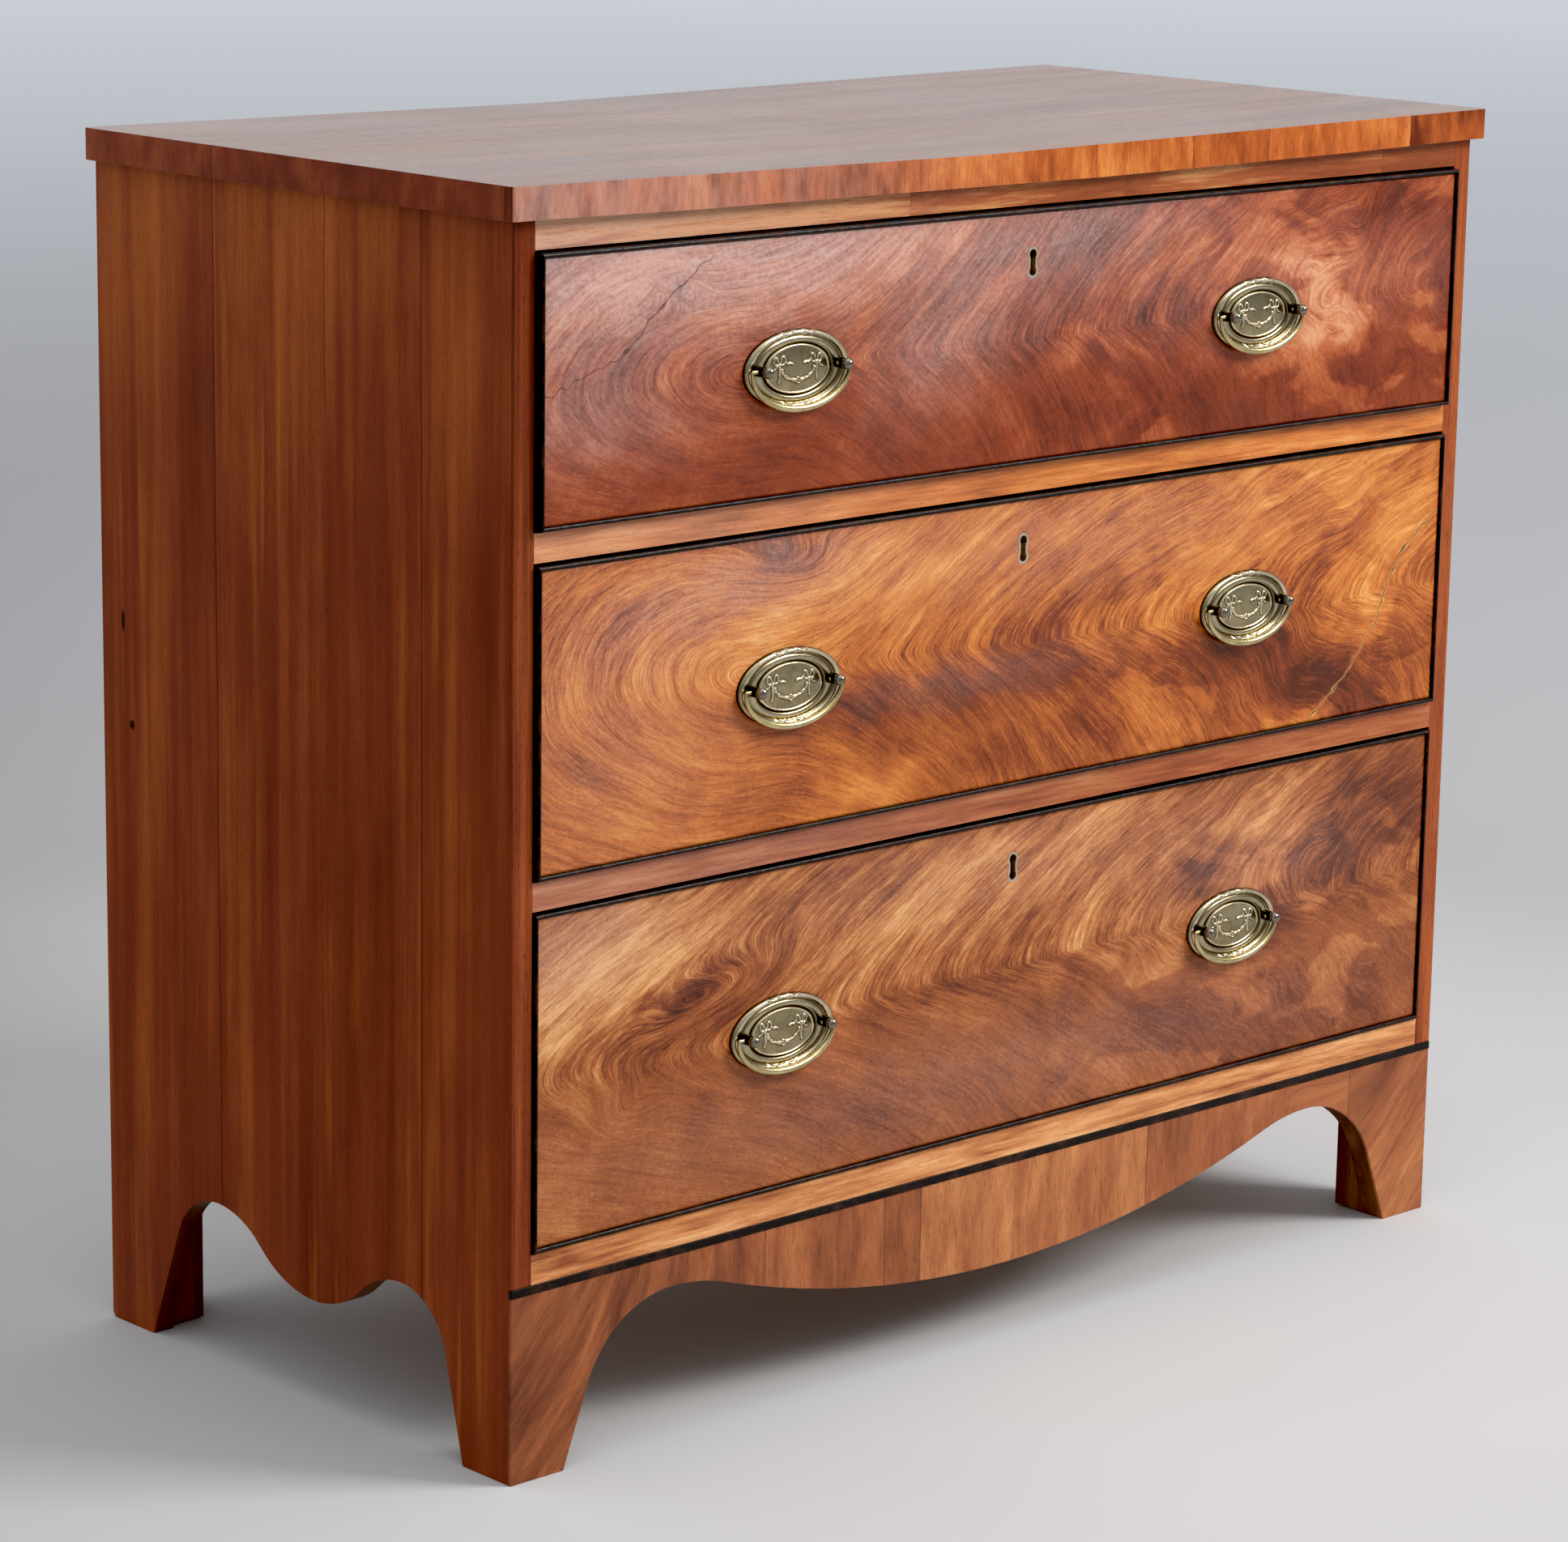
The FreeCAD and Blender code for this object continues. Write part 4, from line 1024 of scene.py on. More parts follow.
@dataclass
class DrawerBrasses:
    """The plates, posts, bails and keyhole edge of one drawer, at the places of their nodes.

    All sizes are in millimetres: the ball of a post starts at ball_from in front of the face, and a
    bail's pins are eye_reach in front of it and post_rise above the plate's middle.
    """

    name: str
    plate: HandlePlate
    eye_reach: float = 6.4
    post_rise: float = 1.5
    bail_half_width: float = 44.0
    bail_drop: float = 27.5
    bail_end: float = 1.3
    bail_middle: float = 2.6
    bail_arm: float = 1.5
    bail_corner: float = 1.2
    pin_end: float = 31.9
    ball_from: float = 9.2

    def build(self) -> None:
        """Makes and rides all brass pieces of the drawer."""
        low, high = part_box(f"{self.name}_plates")
        middle = np.array([0.0, high[1], (low[2] + high[2]) / 2])
        places = {side: middle + (way * HANDLE_SPREAD * MM, 0, 0) for side, way in SIDES.items()}
        points, faces, worn = self.plate.surface()
        both = faces + [[index + len(points) for index in row] for row in faces]
        spread = np.vstack([points + place for place in places.values()])
        piece = new_piece(f"{self.name}_oval_plates", spread, both, made(PLATE), height=np.tile(worn, 2))
        reshaped(piece, merge=False)
        mounted(piece, self.name, "brass", f"{self.name}_plates")
        for side, place in places.items():
            self.hang_bail(side, place)
        ball = PostBrass(f"{self.name}_post_brass", high[1] - self.ball_from * MM)
        dress(f"{self.name}_", {"posts": ball, "escutcheon": KEYHOLE})

    def hang_bail(self, side: str, place: Grid) -> None:
        """Hangs one bail from its pins: a half oval that swells to its middle.

        At the angle a round the oval, the middle line is at (half width cos a, -arm - rise sin a), and
        the radius is the end radius plus the swell times sin a.

        Args:
            side: left or right.
            place: the middle of the plate's face.
        """
        angle = np.linspace(0, math.pi, 65)
        bow_x = self.bail_half_width * np.cos(angle)
        bow_z = -self.bail_arm - (self.bail_drop - self.bail_arm) * np.sin(angle)
        start = self.bail_half_width - self.bail_corner
        bend = np.linspace(0, math.pi / 2, 6)[1:]
        corner = start + self.bail_corner * np.sin(bend)
        side_x = np.concatenate([np.linspace(self.pin_end, start, 5), corner])
        side_z = np.concatenate([np.zeros(5), self.bail_corner * (np.cos(bend) - 1)])
        path_x = np.concatenate([side_x, bow_x, -side_x[::-1]])
        path_z = np.concatenate([side_z, bow_z, side_z[::-1]])
        swell = np.pad(np.sin(angle), 10)
        radii = self.bail_end + (self.bail_middle - self.bail_end) * swell
        points, faces = tube(np.stack([path_x, np.zeros_like(path_x), path_z], axis=-1), radii, 20)
        pins = place + np.array([0.0, -self.eye_reach, self.post_rise]) * MM
        name = f"{self.name}_bail_{side}"
        piece = new_piece(f"{self.name}_swan_bail_{side}", points * MM + pins, faces, made(BAIL))
        reshaped(piece, merge=False)
        mounted(piece, name, "brass", name)


def tube(centres: Grid, radii: Grid, sides: int) -> tuple[Grid, list]:
    """A round bar along a path that lies in one upright plane, closed at both ends.

    Ring i is its centre plus its radius times (cos a of the path's own sideways direction + sin a of
    the Y axis). Each end has one more point, its pole.

    Args:
        centres: the middle of each ring, one a row.
        radii: the radius of each ring.
        sides: how many points a ring.

    Returns:
        The points and the faces.
    """
    heading = np.gradient(centres, axis=0)
    heading /= np.linalg.norm(heading, axis=1, keepdims=True)
    out = np.array([0.0, -1.0, 0.0])
    angle = np.linspace(0, FULL_TURN, sides, endpoint=False)[None, :, None]
    ring = np.cos(angle) * np.cross(heading, out)[:, None, :] + np.sin(angle) * out
    points = (centres[:, None, :] + radii[:, None, None] * ring).reshape(-1, 3)
    turn, count = np.arange(sides), len(points)
    after = (turn + 1) % sides
    faces = net(len(centres), sides, closed=True).tolist() + spokes(count, after, turn)
    faces += spokes(count + 1, count - sides + turn, count - sides + after)
    return np.vstack([points, centres[:1], centres[-1:]]), faces


@dataclass
class VeneeredFront:
    """The sheet of figured veneer on one drawer front, inside its black bead, in millimetres.

    It is a grid over the face with a hole at the keyhole. The face waves a little, as old veneer does,
    and the grid's points hold the grain number, how crowded it is, the marks, the painted sheen and the
    crack.
    """

    number: int
    figure: Figure
    finish: FlameVeneer
    bead: float = 3.0
    spacing: float = 2.1
    lift: float = 0.15
    thickness: float = 0.8
    wave: float = 0.06
    lobe: float = 4.3
    lobe_rise: float = 5.75
    waist: float = 3.3

    def keyhole_reach(self, angle: Grid) -> Grid:
        """How far the keyhole's outline is from its middle in each direction.

        It is the farthest of where the direction leaves the upper circle, the lower circle and the
        waist between them.

        Args:
            angle: directions in radians, from the X axis.

        Returns:
            The distances in millimetres.
        """
        across, up = np.abs(np.cos(angle)), np.abs(np.sin(angle))
        under = self.lobe ** 2 - (self.lobe_rise * across) ** 2
        lobes = np.where(under > 0, self.lobe_rise * up + np.sqrt(np.maximum(under, 0)), 0.0)
        waist = np.minimum(self.waist / np.maximum(across, 1e-6), self.lobe_rise / np.maximum(up, 1e-6))
        return np.maximum(lobes, waist)

    def sheet(self, low: Grid, high: Grid, hole: Grid) -> tuple[Grid, Grid, list]:
        """The grid over the face. Points at the keyhole's edge are moved onto its outline.

        Args:
            low, high: two corners of the drawer front.
            hole: the middle of the keyhole.

        Returns:
            Each point's X and Z, and the faces.
        """
        wide, _, tall = (np.linspace(start + self.bead, end - self.bead,
                                     int(round((end - start - 2 * self.bead) / self.spacing)) + 1)
                         for start, end in zip(low, high))
        z, x = (places.ravel() for places in np.meshgrid(tall, wide, indexing="ij"))
        faces = net(len(tall), len(wide))
        across, up = x[faces].mean(axis=1) - hole[0], z[faces].mean(axis=1) - hole[2]
        inside = np.hypot(across, up) < self.keyhole_reach(np.arctan2(up, across))
        rim = np.intersect1d(faces[inside], faces[~inside])
        angle = np.arctan2(z[rim] - hole[2], x[rim] - hole[0])
        reach = self.keyhole_reach(angle)
        x[rim], z[rim] = hole[0] + reach * np.cos(angle), hole[2] + reach * np.sin(angle)
        used, order = np.unique(faces[~inside], return_inverse=True)
        return x[used], z[used], order.reshape(-1, 4).tolist()

    def build(self) -> None:
        """Makes the veneer and rides it on its drawer."""
        name, figure = f"drawer_{self.number}", self.figure
        low, high = (np.array(corner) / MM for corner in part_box(f"{name}_front"))
        hole = sum(np.array(corner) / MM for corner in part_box(f"{name}_escutcheon")) / 2
        x, z, faces = self.sheet(low, high, hole)
        up = z - (low[2] + high[2]) / 2
        half = 0.5
        slope = np.hypot(figure.number(x + half, up) - figure.number(x - half, up),
                         figure.number(x, up + half) - figure.number(x, up - half)) / (2 * half)
        gap, split = figure.split(x, up)
        waves = self.wave * (wobble(x, up, 83.0, 1.9 + self.number) + 0.4 * wobble(x, up, 41.0, 0.3))
        points = np.stack([x, low[1] - self.lift + waves, z], axis=-1) * MM
        piece = new_piece(f"{name}_veneer", points, faces, made(self.finish),
                          grain=figure.number(x, up) * MM, crowd=np.clip((slope - 1.0) / 7.0, 0, 1),
                          tone=figure.shade(figure.marks, x, up), bloom=figure.shade(figure.blooms, x, up),
                          life=figure.life(x, up), gap=gap, split=split,
                          patch=figure.patchiness * ease(x - 0.5 * up, 20.0, 200.0))
        wall = piece.modifiers.new("thickness", "SOLIDIFY")
        wall.thickness, wall.offset = self.thickness * MM, -1.0
        mounted(piece, name, "mahogany_front")


SIDE = SolidWood("side_mahogany", (82, 30, 14), (136, 62, 34), (192, 106, 50), Grain.ALONG_Z, band=0.034,
                 streak=0.012, length=0.7, contrast=0.48, joint_axis=1, joints=(-0.1227, 0.1), gold=0.34,
                 rough=0.36, shine=0.16, pore=0.25, foot_shade=0.05, joint_shade=0.85, crown=0.16,
                 dents=((0.2094, 0.518, 0.0022, 0.0080), (0.2004, 0.445, 0.0032, 0.0036)),
                 check=(-0.0217, 0.679))
FAR_SIDE = replace(SIDE, name="far_side_mahogany", shift=5.3, dents=(), check=None)
CUT = replace(SIDE, name="cut_mahogany", dark=(62, 36, 24), middle=(112, 70, 48), light=(152, 102, 72),
              gold=0.0, dents=(), check=None, crown=0.0)
TOP = SolidWood("top_mahogany", (82, 48, 32), (120, 78, 52), (152, 106, 76), Grain.ALONG_X, band=0.040,
                length=0.8, joint_axis=1, joints=(0.139,), gloss=0.41, shine=0.4, contrast=0.7, pore=0.25,
                clouds=0.08)
# The top's front edge and the rails below are lightened at their left ends by a painted sheen, a pale
# painted reflection of the light.
EDGE = SolidWood("top_edge_mahogany", (104, 42, 20), (188, 98, 46), (232, 150, 78), Grain.ALONG_Z,
                 streak=0.011, length=0.07, contrast=0.7, lean=-6.0, shine=0.2, joint_shade=0.4,
                 joints=(-0.205, -0.118, 0.052, 0.150, 0.230, 0.386),
                 board_tones=(-0.18, -0.12, 0.02, 0.06, -0.08, 0.04, -0.26), painted_sheen_span=(-0.47, 0.05, 0.42))
SIDE_EDGE = SolidWood("side_edge_mahogany", (76, 28, 14), (130, 57, 31), (178, 96, 54), Grain.ALONG_Z,
                      band=0.05, streak=0.014, length=0.07, contrast=0.55, joint_axis=1, lean=6.0,
                      joints=(-0.216, 0.090), board_tones=(-0.2, 0.0, 0.12), shine=0.2)
RAIL = SolidWood("rail_mahogany", (144, 72, 36), (210, 136, 80), (244, 184, 124), Grain.ALONG_X,
                 band=0.016, streak=0.004, length=0.13, contrast=1.1, lean=5.0, rough=0.28, gloss=0.15,
                 pore=0.3)
UPPER_RAIL = replace(RAIL, name="upper_rail_mahogany", middle=(214, 124, 58), light=(244, 170, 96),
                     contrast=0.9, shift=6.2, painted_sheen_span=(-0.46, 0.05, 0.30))
LOWER_RAIL = replace(RAIL, name="lower_rail_mahogany", dark=(104, 44, 20), middle=(168, 88, 46),
                     light=(204, 132, 82), contrast=0.8, shift=2.3, painted_sheen_span=(-0.46, 0.2, 0.2))
# The first board's lighter tone is partly the board's own and partly painted sheen, a painted reflection of
# the light at the left end.
TOP_RAIL = replace(RAIL, name="top_rail_mahogany", middle=(174, 94, 50), light=(226, 156, 96), shift=4.1,
                   joints=(-0.12, 0.09, 0.365), board_tones=(0.22, 0.06, -0.06, -0.30), joint_shade=0.25,
                   painted_sheen_span=(-0.46, 0.0, 0.5))
FACING = SolidWood("facing_mahogany", (74, 28, 14), (124, 56, 30), (172, 90, 48), Grain.ALONG_Z, band=0.02,
                   streak=0.004, length=0.5, contrast=0.7, shift=1.7, joints=(0.0,),
                   board_tones=(0.0, 0.26), shine=0.2)
APRON = SolidWood("apron_mahogany", (96, 44, 24), (166, 96, 56), (212, 142, 86), Grain.ALONG_Z,
                  streak=0.010, length=0.09, contrast=0.55, lean=4.0, feet_lean=0.9, rough=0.32,
                  joints=(-0.238, -0.124, -0.0885, 0.145, 0.3715), gloss=0.1, joint_shade=0.55,
                  board_tones=(-0.14, -0.04, -0.10, 0.12, -0.06, 0.0))
STAINED = SolidWood("stained_pine", (66, 36, 24), (116, 70, 46), (156, 102, 70), Grain.ALONG_Z, band=0.05,
                    streak=0.010, rough=0.7, shine=0.15)
OAK = SolidWood("drawer_oak", (120, 90, 58), (172, 136, 92), (200, 168, 122), Grain.ALONG_Y, streak=0.003,
                rough=0.62, contrast=0.8)
PINE_X = SolidWood("carcass_pine", (120, 78, 42), (176, 128, 78), (206, 164, 112), Grain.ALONG_X,
                   band=0.05, streak=0.010, rough=0.7)
PINE_Y = replace(PINE_X, name="runner_pine", middle=(172, 124, 76), light=(202, 160, 110),
                 grain=Grain.ALONG_Y)
BACK = SolidWood("back_pine", (116, 80, 48), (168, 126, 82), (200, 162, 114), Grain.ALONG_Z, band=0.05,
                 streak=0.009, contrast=0.8, joints=(-0.224, 0.0, 0.224), rough=0.75, joint_shade=0.4,
                 board_tones=(0.0, 0.14, -0.08, 0.06))
# Worn and painted highlight: the pale colour of the top board's eased arrises is partly wear and partly a
# painted highlight, the light's reflection along the front arris.
WORN_PAINTED_HIGHLIGHT = SolidWood("worn_arris_painted_highlight", (160, 112, 90), (214, 178, 158), (248, 232, 222), Grain.ALONG_X,
                 streak=0.02, length=0.05, rough=0.4, gloss=0.1)
BEAD = Ebonised("bead_black", (84, 50, 34))
STRIP = Ebonised("strip_black", (84, 52, 36))
IRON = Iron("lock_iron")
KEYHOLE = OldBrass("keyhole_brass", (208, 200, 178), (176, 162, 130), (70, 52, 30), rough=0.36)
PLATE = OldBrass("plate_brass", (224, 212, 184), (182, 166, 132), (58, 42, 26), rough=0.22, raised=True)
BAIL = OldBrass("bail_brass", (212, 196, 148), (160, 142, 96), (80, 58, 30), rough=0.24)


def dress(prefix: str, finishes: dict[str, Finish]) -> None:
    """Gives nodes their finishes.

    Args:
        prefix: what the nodes' names begin with.
        finishes: each finish by the rest of the node's name.
    """
    for node, finish in finishes.items():
        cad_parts[prefix + node].material_slots[0].material = made(finish)
    log.info("%s%s: dressed", prefix, ", ".join(finishes))


@dataclass
class Carcass:
    """The case: top, sides, rails, apron and the rough pieces behind them."""

    ease_width: float = 0.4 * MM
    top_ease_width: float = 0.9 * MM

    def soften(self, node: str, slot: str, *finishes: Finish) -> None:
        """Puts a copy of a node's solid, with its arrises eased, in the node's place.

        Args:
            node: the node's name.
            slot: a name that is handed on to mounted.
            finishes: its finish and, where they differ, those of the front and back edges, of the two
                end edges and of the eased arrises.
        """
        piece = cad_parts[node].copy()
        mesh = piece.data = piece.data.copy()
        piece.name = f"{node}_eased"
        piece.parent = None
        piece.matrix_world = Matrix.Identity(4)
        bpy.context.scene.collection.objects.link(piece)
        reshaped(piece, merge=True)
        mesh.materials.clear()
        for finish in finishes:
            mesh.materials.append(made(finish))
        which = np.zeros(len(mesh.polygons), dtype=np.int32)
        if len(finishes) > 1:
            normals = np.zeros(3 * len(which))
            mesh.polygons.foreach_get("normal", normals)
            across, deep, up = np.abs(normals.reshape(-1, 3)).T
            which[:] = np.where(up < 0.6, np.where(deep > across, 1, 2), 0)
        mesh.polygons.foreach_set("material_index", which)
        mesh.polygons.foreach_set("use_smooth", np.ones(len(which), dtype=bool))
        bevel = piece.modifiers.new("eased", "BEVEL")
        bevel.width = self.top_ease_width if node == "top_board" else self.ease_width
        bevel.segments, bevel.material = 2, len(finishes) - 1
        bevel.limit_method, bevel.angle_limit = "ANGLE", math.radians(35)
        level = piece.modifiers.new("level", "WEIGHTED_NORMAL")
        level.weight, level.keep_sharp = 100, True
        mounted(piece, "carcass", slot, node)

    def build(self) -> None:
        """Eases the arrises of what shows and dresses the rest."""
        # The top board's eased arrises take the pale finish of wear and painted highlight.
        self.soften("top_board", "mahogany_top", TOP, EDGE, SIDE_EDGE, WORN_PAINTED_HIGHLIGHT)
        self.soften("side_left", "mahogany_side", CUT, CUT, SIDE, SIDE)
        self.soften("side_right", "mahogany_side", CUT, CUT, FAR_SIDE, FAR_SIDE)
        strips = {"stile_facings": FACING, "top_rail": TOP_RAIL, "upper_rail": UPPER_RAIL,
                  "lower_rail": LOWER_RAIL, "bottom_rail": RAIL}
        for node, finish in strips.items():
            self.soften(node, "mahogany_facing", finish)
        self.soften("apron_facing", "mahogany_apron", APRON)
        self.soften("ebonised_strip", "ebonised", STRIP)
        dress("", {"top_back_rail": PINE_X, "bottom_board": PINE_X, "apron": STAINED, "back_boards": BACK,
                   "dust_boards": PINE_X, "drawer_runners": PINE_Y, "drawer_stops": PINE_X,
                   "corner_blocks": STAINED, "rear_brackets": STAINED, "top_screws": IRON})


@dataclass
class DrawerBox:
    """The plain pieces of one drawer: groundwork, sides, back, bottom, bead and lock."""

    name: str

    def build(self) -> None:
        """Gives each node its finish."""
        dress(f"{self.name}_", {"front": RAIL, "side_left": OAK, "side_right": OAK, "back": PINE_X,
                                "bottom": PINE_Y, "cock_bead": BEAD, "lock": IRON, "lock_bolt": IRON})


@dataclass
class Studio:
    """The pale floor, the soft lights and the camera."""

    floor_half: float = 20.0
    aim: Colour = (0, 0, 0.4)
    place: Colour = (-2.44626, -2.59182, 1.19399)
    yaw: float = 0.75113
    pitch: float = -0.22451
    roll: float = 0.01578
    lens: float = 113.777
    film: float = 36.0
    print_black: float = 0.014
    dim: float = 0.28
    bright: float = 0.92

    def floor(self) -> None:
        """Lays a wide floor with painted shade, greyer near the chest, and a painted shadow to the left of
        it.
        """
        tree = FinishTree("floor_painted_shade")
        x, y, _ = tree.axes
        cloud = tree.noise(tree.mapped((1.3, 1.3, 1.3)), 3.0)
        away = tree.add("VectorMath", tree.place, operation="LENGTH").outputs["Value"]
        far = tree.times(cloud, 0.02, tree.times(away, 0.05))
        # Painted shade: the floor's grey is darkest a metre or two from the chest and pales far off,
        # standing in for the falling off of the light.
        colour = tree.ramp(far, (0.03, (202, 202, 202)), (0.05, (188, 187, 187)), (0.08, (170, 169, 169)),
                           (0.12, (178, 177, 178)), (0.20, (190, 190, 192)), (0.36, (214, 215, 218)),
                           (0.70, (246, 248, 252)))
        # Painted shadow: a darker grey to the left of the chest, where the key light is blocked, fading out
        # far off.
        share = tree.times(tree.step(tree.less(y, x), 0.5, 1.8, 0.0, 0.22), tree.step(far, 0.50, 0.15))
        paint = tree.close(tree.mix(share, colour, (84, 81, 80)), 0.9, Specular_IOR_Level=0.1)
        corners = np.array([(-1, -1, 0), (1, -1, 0), (1, 1, 0), (-1, 1, 0)]) * self.floor_half
        new_piece("floor", corners, [[0, 1, 2, 3]], paint)

    def lamp(self, name: str, place: Colour, width: float, power: float, colour: Colour) -> None:
        """Hangs one soft square light that faces the chest.

        Args:
            name: its name.
            place: where it hangs.
            width: its width in metres.
            power: its power in watts.
            colour: its colour.
        """
        light = bpy.data.lights.new(name, "AREA")
        light.size, light.energy, light.color = width, power, colour
        lamp = bpy.data.objects.new(name, light)
        lamp.location = place
        lamp.rotation_euler = (Vector(self.aim) - Vector(place)).to_track_quat("-Z", "Y").to_euler()
        lamp.visible_camera = False
        bpy.context.scene.collection.objects.link(lamp)

    def lights(self) -> None:
        """Sets the surroundings, bright above and behind and dim in front, and two soft lights."""
        bpy.context.scene.world = world = bpy.data.worlds.new("studio")
        tree = NodeTree(world, "Background", "OutputWorld", "Generated")
        _, deep, up = tree.axes
        strength = tree.step(tree.times(up, 2.0, deep), -0.7, 0.5, self.dim, self.bright)
        tree.feed(tree.shader.inputs["Color"], ink(222, 225, 230))
        tree.feed(tree.shader.inputs["Strength"], strength)
        self.lamp("key", (2.4, -2.9, 3.1), 1.7, 160, (1.0, 0.985, 0.97))
        self.lamp("ceiling", (0.0, -0.5, 3.9), 3.2, 45, (1.0, 1.0, 1.0))

    def camera(self) -> None:
        """Stands the camera where the picture was taken from.

        Its forward direction is (sin yaw cos pitch, cos yaw cos pitch, sin pitch); its right and up
        directions are turned about that by the roll.
        """
        level = math.cos(self.pitch)
        forward = Vector((math.sin(self.yaw) * level, math.cos(self.yaw) * level, math.sin(self.pitch)))
        right = Vector((math.cos(self.yaw), -math.sin(self.yaw), 0))
        up = right.cross(forward)
        across = math.cos(self.roll) * right + math.sin(self.roll) * up
        upright = -math.sin(self.roll) * right + math.cos(self.roll) * up
        eye = bpy.data.cameras.new("camera")
        eye.lens, eye.sensor_width, eye.sensor_fit = self.lens, self.film, "HORIZONTAL"
        camera = bpy.data.objects.new("camera", eye)
        turn = Matrix((across, upright, -forward)).transposed()
        camera.matrix_world = Matrix.Translation(self.place) @ turn.to_4x4()
        bpy.context.scene.collection.objects.link(camera)
        bpy.context.scene.camera = camera

    def build(self) -> None:
        """Sets out everything around the chest."""
        self.floor()
        self.lights()
        self.camera()
        print_look = bpy.context.scene.view_settings
        print_look.view_transform = "Standard"
        print_look.use_curve_mapping = True
        print_look.curve_mapping.black_level = [self.print_black] * 3
        log.info("studio set")


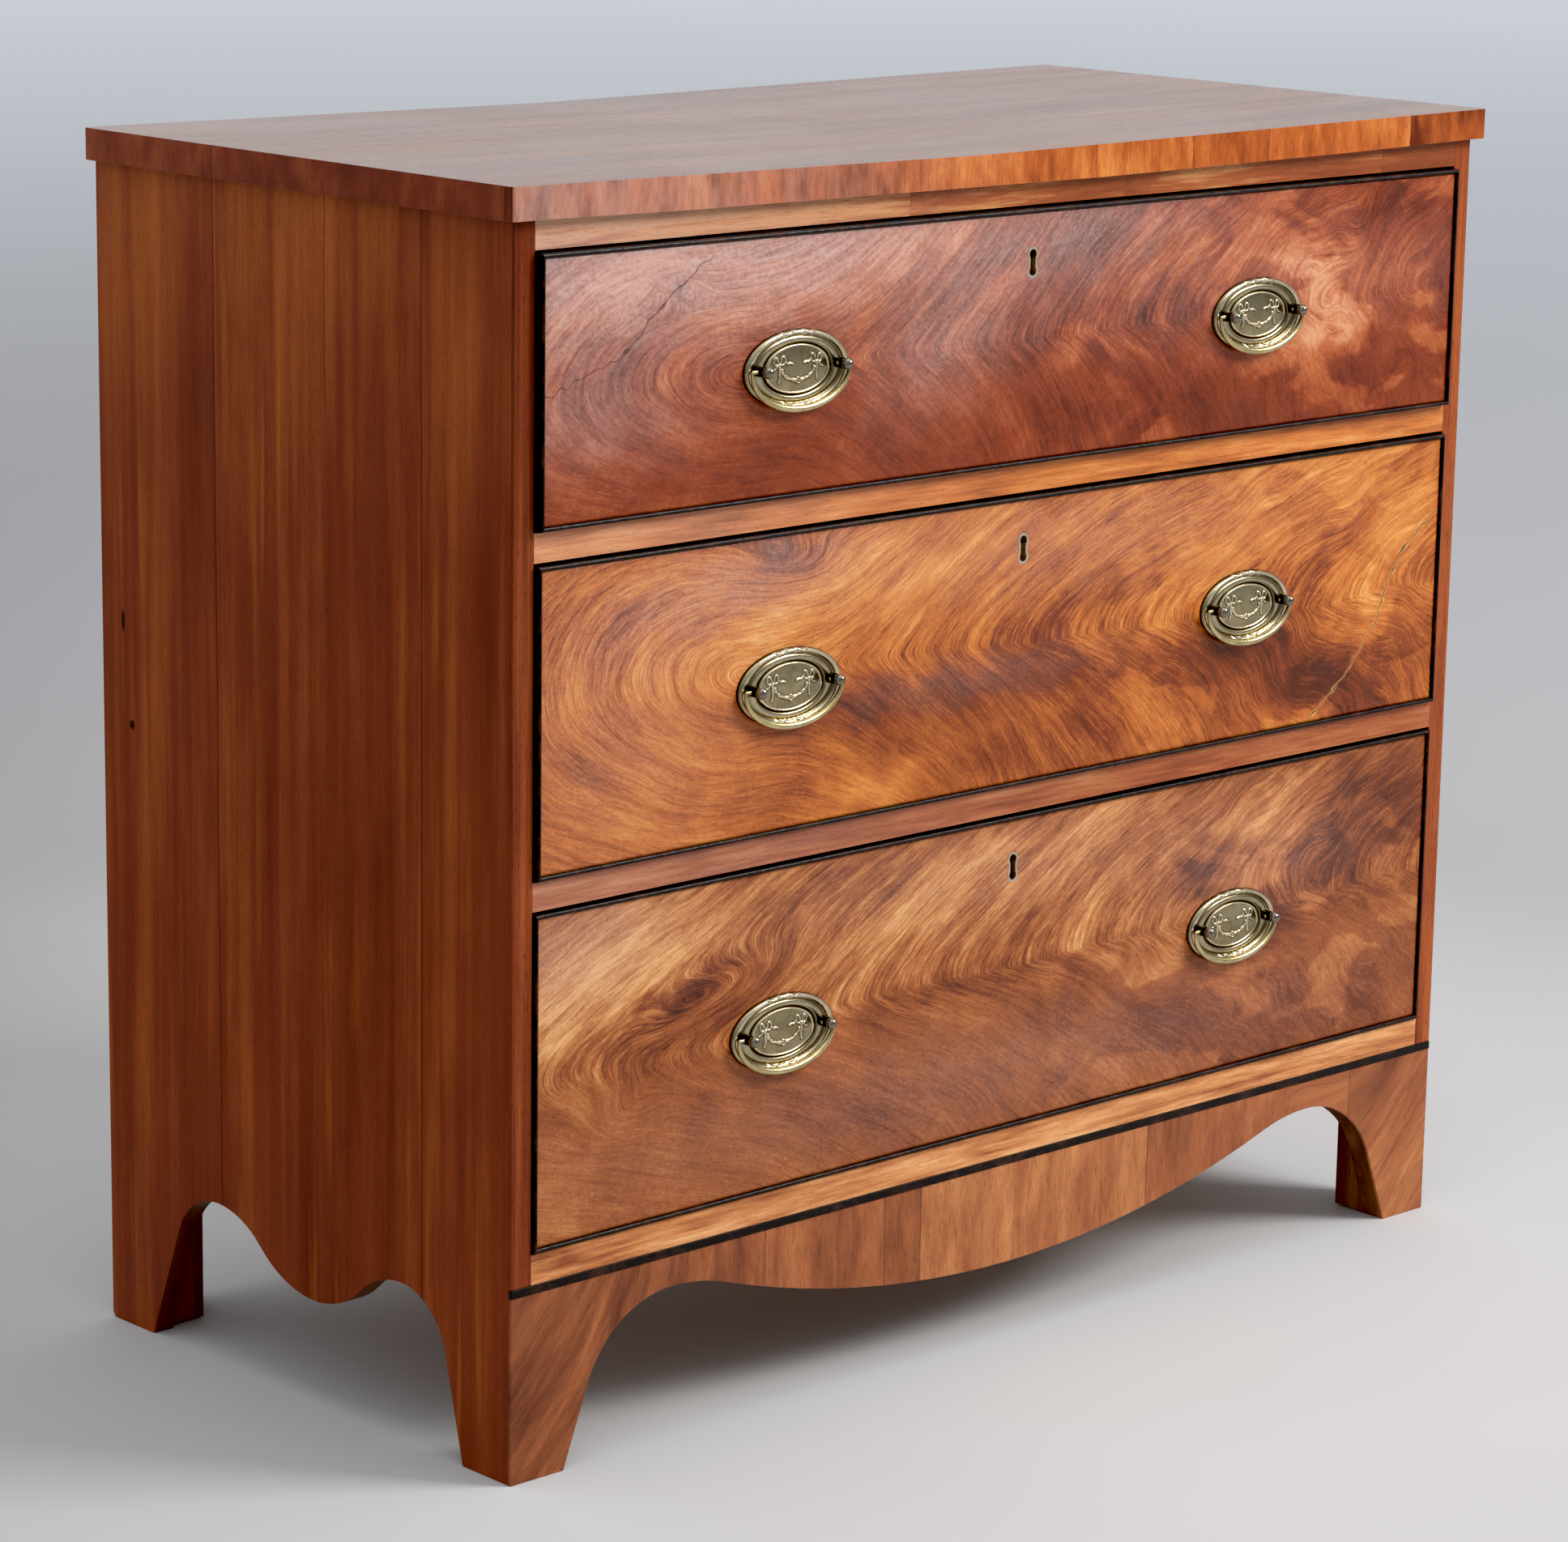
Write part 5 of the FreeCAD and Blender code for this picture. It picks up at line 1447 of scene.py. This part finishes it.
# In each figure the spots after the marks are painted sheen, a painted reflection of the light, strongest at
# the upper left of the top drawer.
FIGURES = {
    1: Figure(
        spine=(-2.0, 0.0, 0.0), up=(Fan(2.6, 24.0), Fan(1.7, 34.0)),
        down=(Fan(2.0, 24.0), Fan(0.25, 10.0, 58.0, 28.0)), join=(-260.0, 60.0),
        eye=(-270.0, 2.3, 150.0), crack=Crack(((-301, 78), (-340, 52), (-378, 18), (-447, -5)), 0.7),
        knots=spots((-328, 59, 22, 11, 42, -10), (245, 20, 60, 34, 26, 25), (330, 20, 40, 60, -26)),
        marks=spots(
            # The first mark lightens the upper left: partly the veneer's own pale tone, partly painted
            # sheen, a painted reflection of the light.
            (-370, 74, 100, 24, 0.30, 18), (-400, 6, 70, 16, -0.10, 22), (-300, -24, 110, 20, -0.08, -16),
            (-328, 59, 7, 5, -0.5), (-270, 50, 70, 22, 0.12, 24), (-140, 68, 130, 22, 0.16, 14),
            (40, 64, 110, 16, -0.16, 8), (-30, 40, 60, 12, 0.14, 16), (310, 14, 60, 38, 0.26, 60),
            (246, 34, 30, 20, 0.26), (300, -22, 70, 10, 0.18, 6), (345, 62, 60, 14, -0.16, 10),
            (200, 30, 120, 50, 0.10), (380, 10, 50, 50, 0.12), (120, 6, 90, 22, -0.12, 5),
            (30, -10, 26, 12, 0.28, 30), (40, -66, 420, 24, -0.08), (200, -40, 60, 20, 0.08)),
        blooms=spots((-370, 78, 160, 50, 0.86, 10), (-180, 76, 130, 36, 0.54, 12),
                     (-90, 4, 70, 40, 0.30, 20), (20, 72, 160, 36, 0.42, 4), (-410, -20, 90, 30, 0.30),
                     (200, 20, 300, 40, 0.14)),
        calm=0.44, stir=11.0, patchiness=0.72, still=0.30),
    2: Figure(
        spine=(-2.0, -0.04, 0.00004), up=(Fan(4.2, 34.0), Fan(3.2, 50.0)),
        down=(Fan(4.4, 36.0), Fan(0.55, 10.0, 90.0, 32.0)), join=(-215.0, 20.0),
        eye=(-265.0, 1.95, 160.0),
        crack=Crack(((444, 48), (400, 16), (376, -31), (347, -67), (300, -102))),
        knots=spots((-229, 84, 50, 18, -56, -8), (300, -50, 60, 30, 40, 30)),
        marks=spots(
            (-300, 14, 60, 16, 0.10), (-229, 82, 44, 11, -0.24), (-60, -24, 200, 17, -0.26, -2),
            (40, 8, 60, 16, -0.12, 20), (-130, 56, 170, 26, 0.16, 12), (250, 74, 180, 20, 0.10, 8),
            (330, -66, 130, 34, -0.42, -10), (240, -22, 80, 24, -0.20, 10), (-390, -74, 90, 26, 0.06),
            (395, 40, 44, 24, 0.16, 40), (-20, -70, 170, 34, -0.20, -8), (-140, -84, 60, 16, 0.20, 10),
            (300, 8, 60, 20, -0.14, 30), (-180, -30, 60, 20, -0.14)),
        blooms=spots((-260, 74, 110, 30, 0.28, 8), (-380, 0, 110, 120, 0.16), (-60, -20, 120, 16, 0.12),
                     (20, 70, 240, 40, 0.16)),
        calm=0.62, stir=7.0, patchiness=0.5),
    3: Figure(
        spine=(4.0, 0.0, 0.0), up=(Fan(2.3, 24.0), Fan(2.6, 60.0)),
        down=(Fan(3.4, 30.0), Fan(1.1, 10.0, 84.0, 32.0)), join=(-330.0, 20.0),
        knots=spots((-285, 34, 70, 20, -80, 12), (-372, -38, 34, 20, 60, 10), (150, -30, 50, 24, 40, 10),
                    (300, -30, 60, 40, -50)),
        marks=spots(
            (-400, 70, 120, 40, 0.30, 20), (-312, 39, 36, 12, -0.36, 20), (-250, 26, 60, 12, -0.14, 30),
            (-330, 60, 100, 18, 0.20, 22), (-60, 70, 170, 34, 0.16, 14), (80, 34, 100, 22, 0.18, 30),
            (-60, 30, 110, 16, 0.10, 16), (250, 70, 60, 15, 0.26, -6), (180, 40, 50, 18, -0.26, 20),
            (370, 50, 80, 50, -0.28, 10), (130, -32, 44, 13, 0.16, 6), (310, -36, 60, 30, 0.06, 50),
            (240, -10, 50, 20, -0.24), (-60, -84, 320, 30, -0.14, -6), (20, 2, 120, 7, -0.12, 2),
            (60, -34, 170, 30, -0.14, -8), (300, -80, 140, 26, -0.10), (-400, -60, 60, 24, 0.10, 20)),
        blooms=spots((-420, 84, 90, 40, 0.26, 10), (250, 40, 120, 40, 0.14), (0, -70, 400, 40, 0.12),
                     (-40, 80, 240, 36, 0.12)),
        calm=0.40, stir=8.0, patchiness=0.60, still=0.15),
}
FLAMES = {
    1: FlameVeneer("upper_flame", (62, 22, 8), (106, 40, 16), (146, 64, 30), (188, 102, 56),
                   (222, 156, 112), shift=0.0),
    2: FlameVeneer("middle_flame", (84, 34, 12), (136, 62, 24), (190, 104, 44), (222, 142, 66),
                   (242, 182, 108), shift=3.3, plume=0.85, crack_edge=0.6),
    3: FlameVeneer("lower_flame", (68, 28, 12), (114, 54, 26), (162, 90, 46), (204, 134, 76),
                   (236, 178, 118), shift=8.1),
}


def main() -> None:
    """Builds the chest's sub-assemblies in order."""
    logging.basicConfig(level=logging.INFO, format="%(name)s: %(message)s")
    Carcass().build()
    plate = HandlePlate()
    for number, figure in FIGURES.items():
        name = f"drawer_{number}"
        DrawerBox(name).build()
        VeneeredFront(number, figure, FLAMES[number]).build()
        DrawerBrasses(name, plate).build()
    Studio().build()


if __name__ == "__main__":
    main()
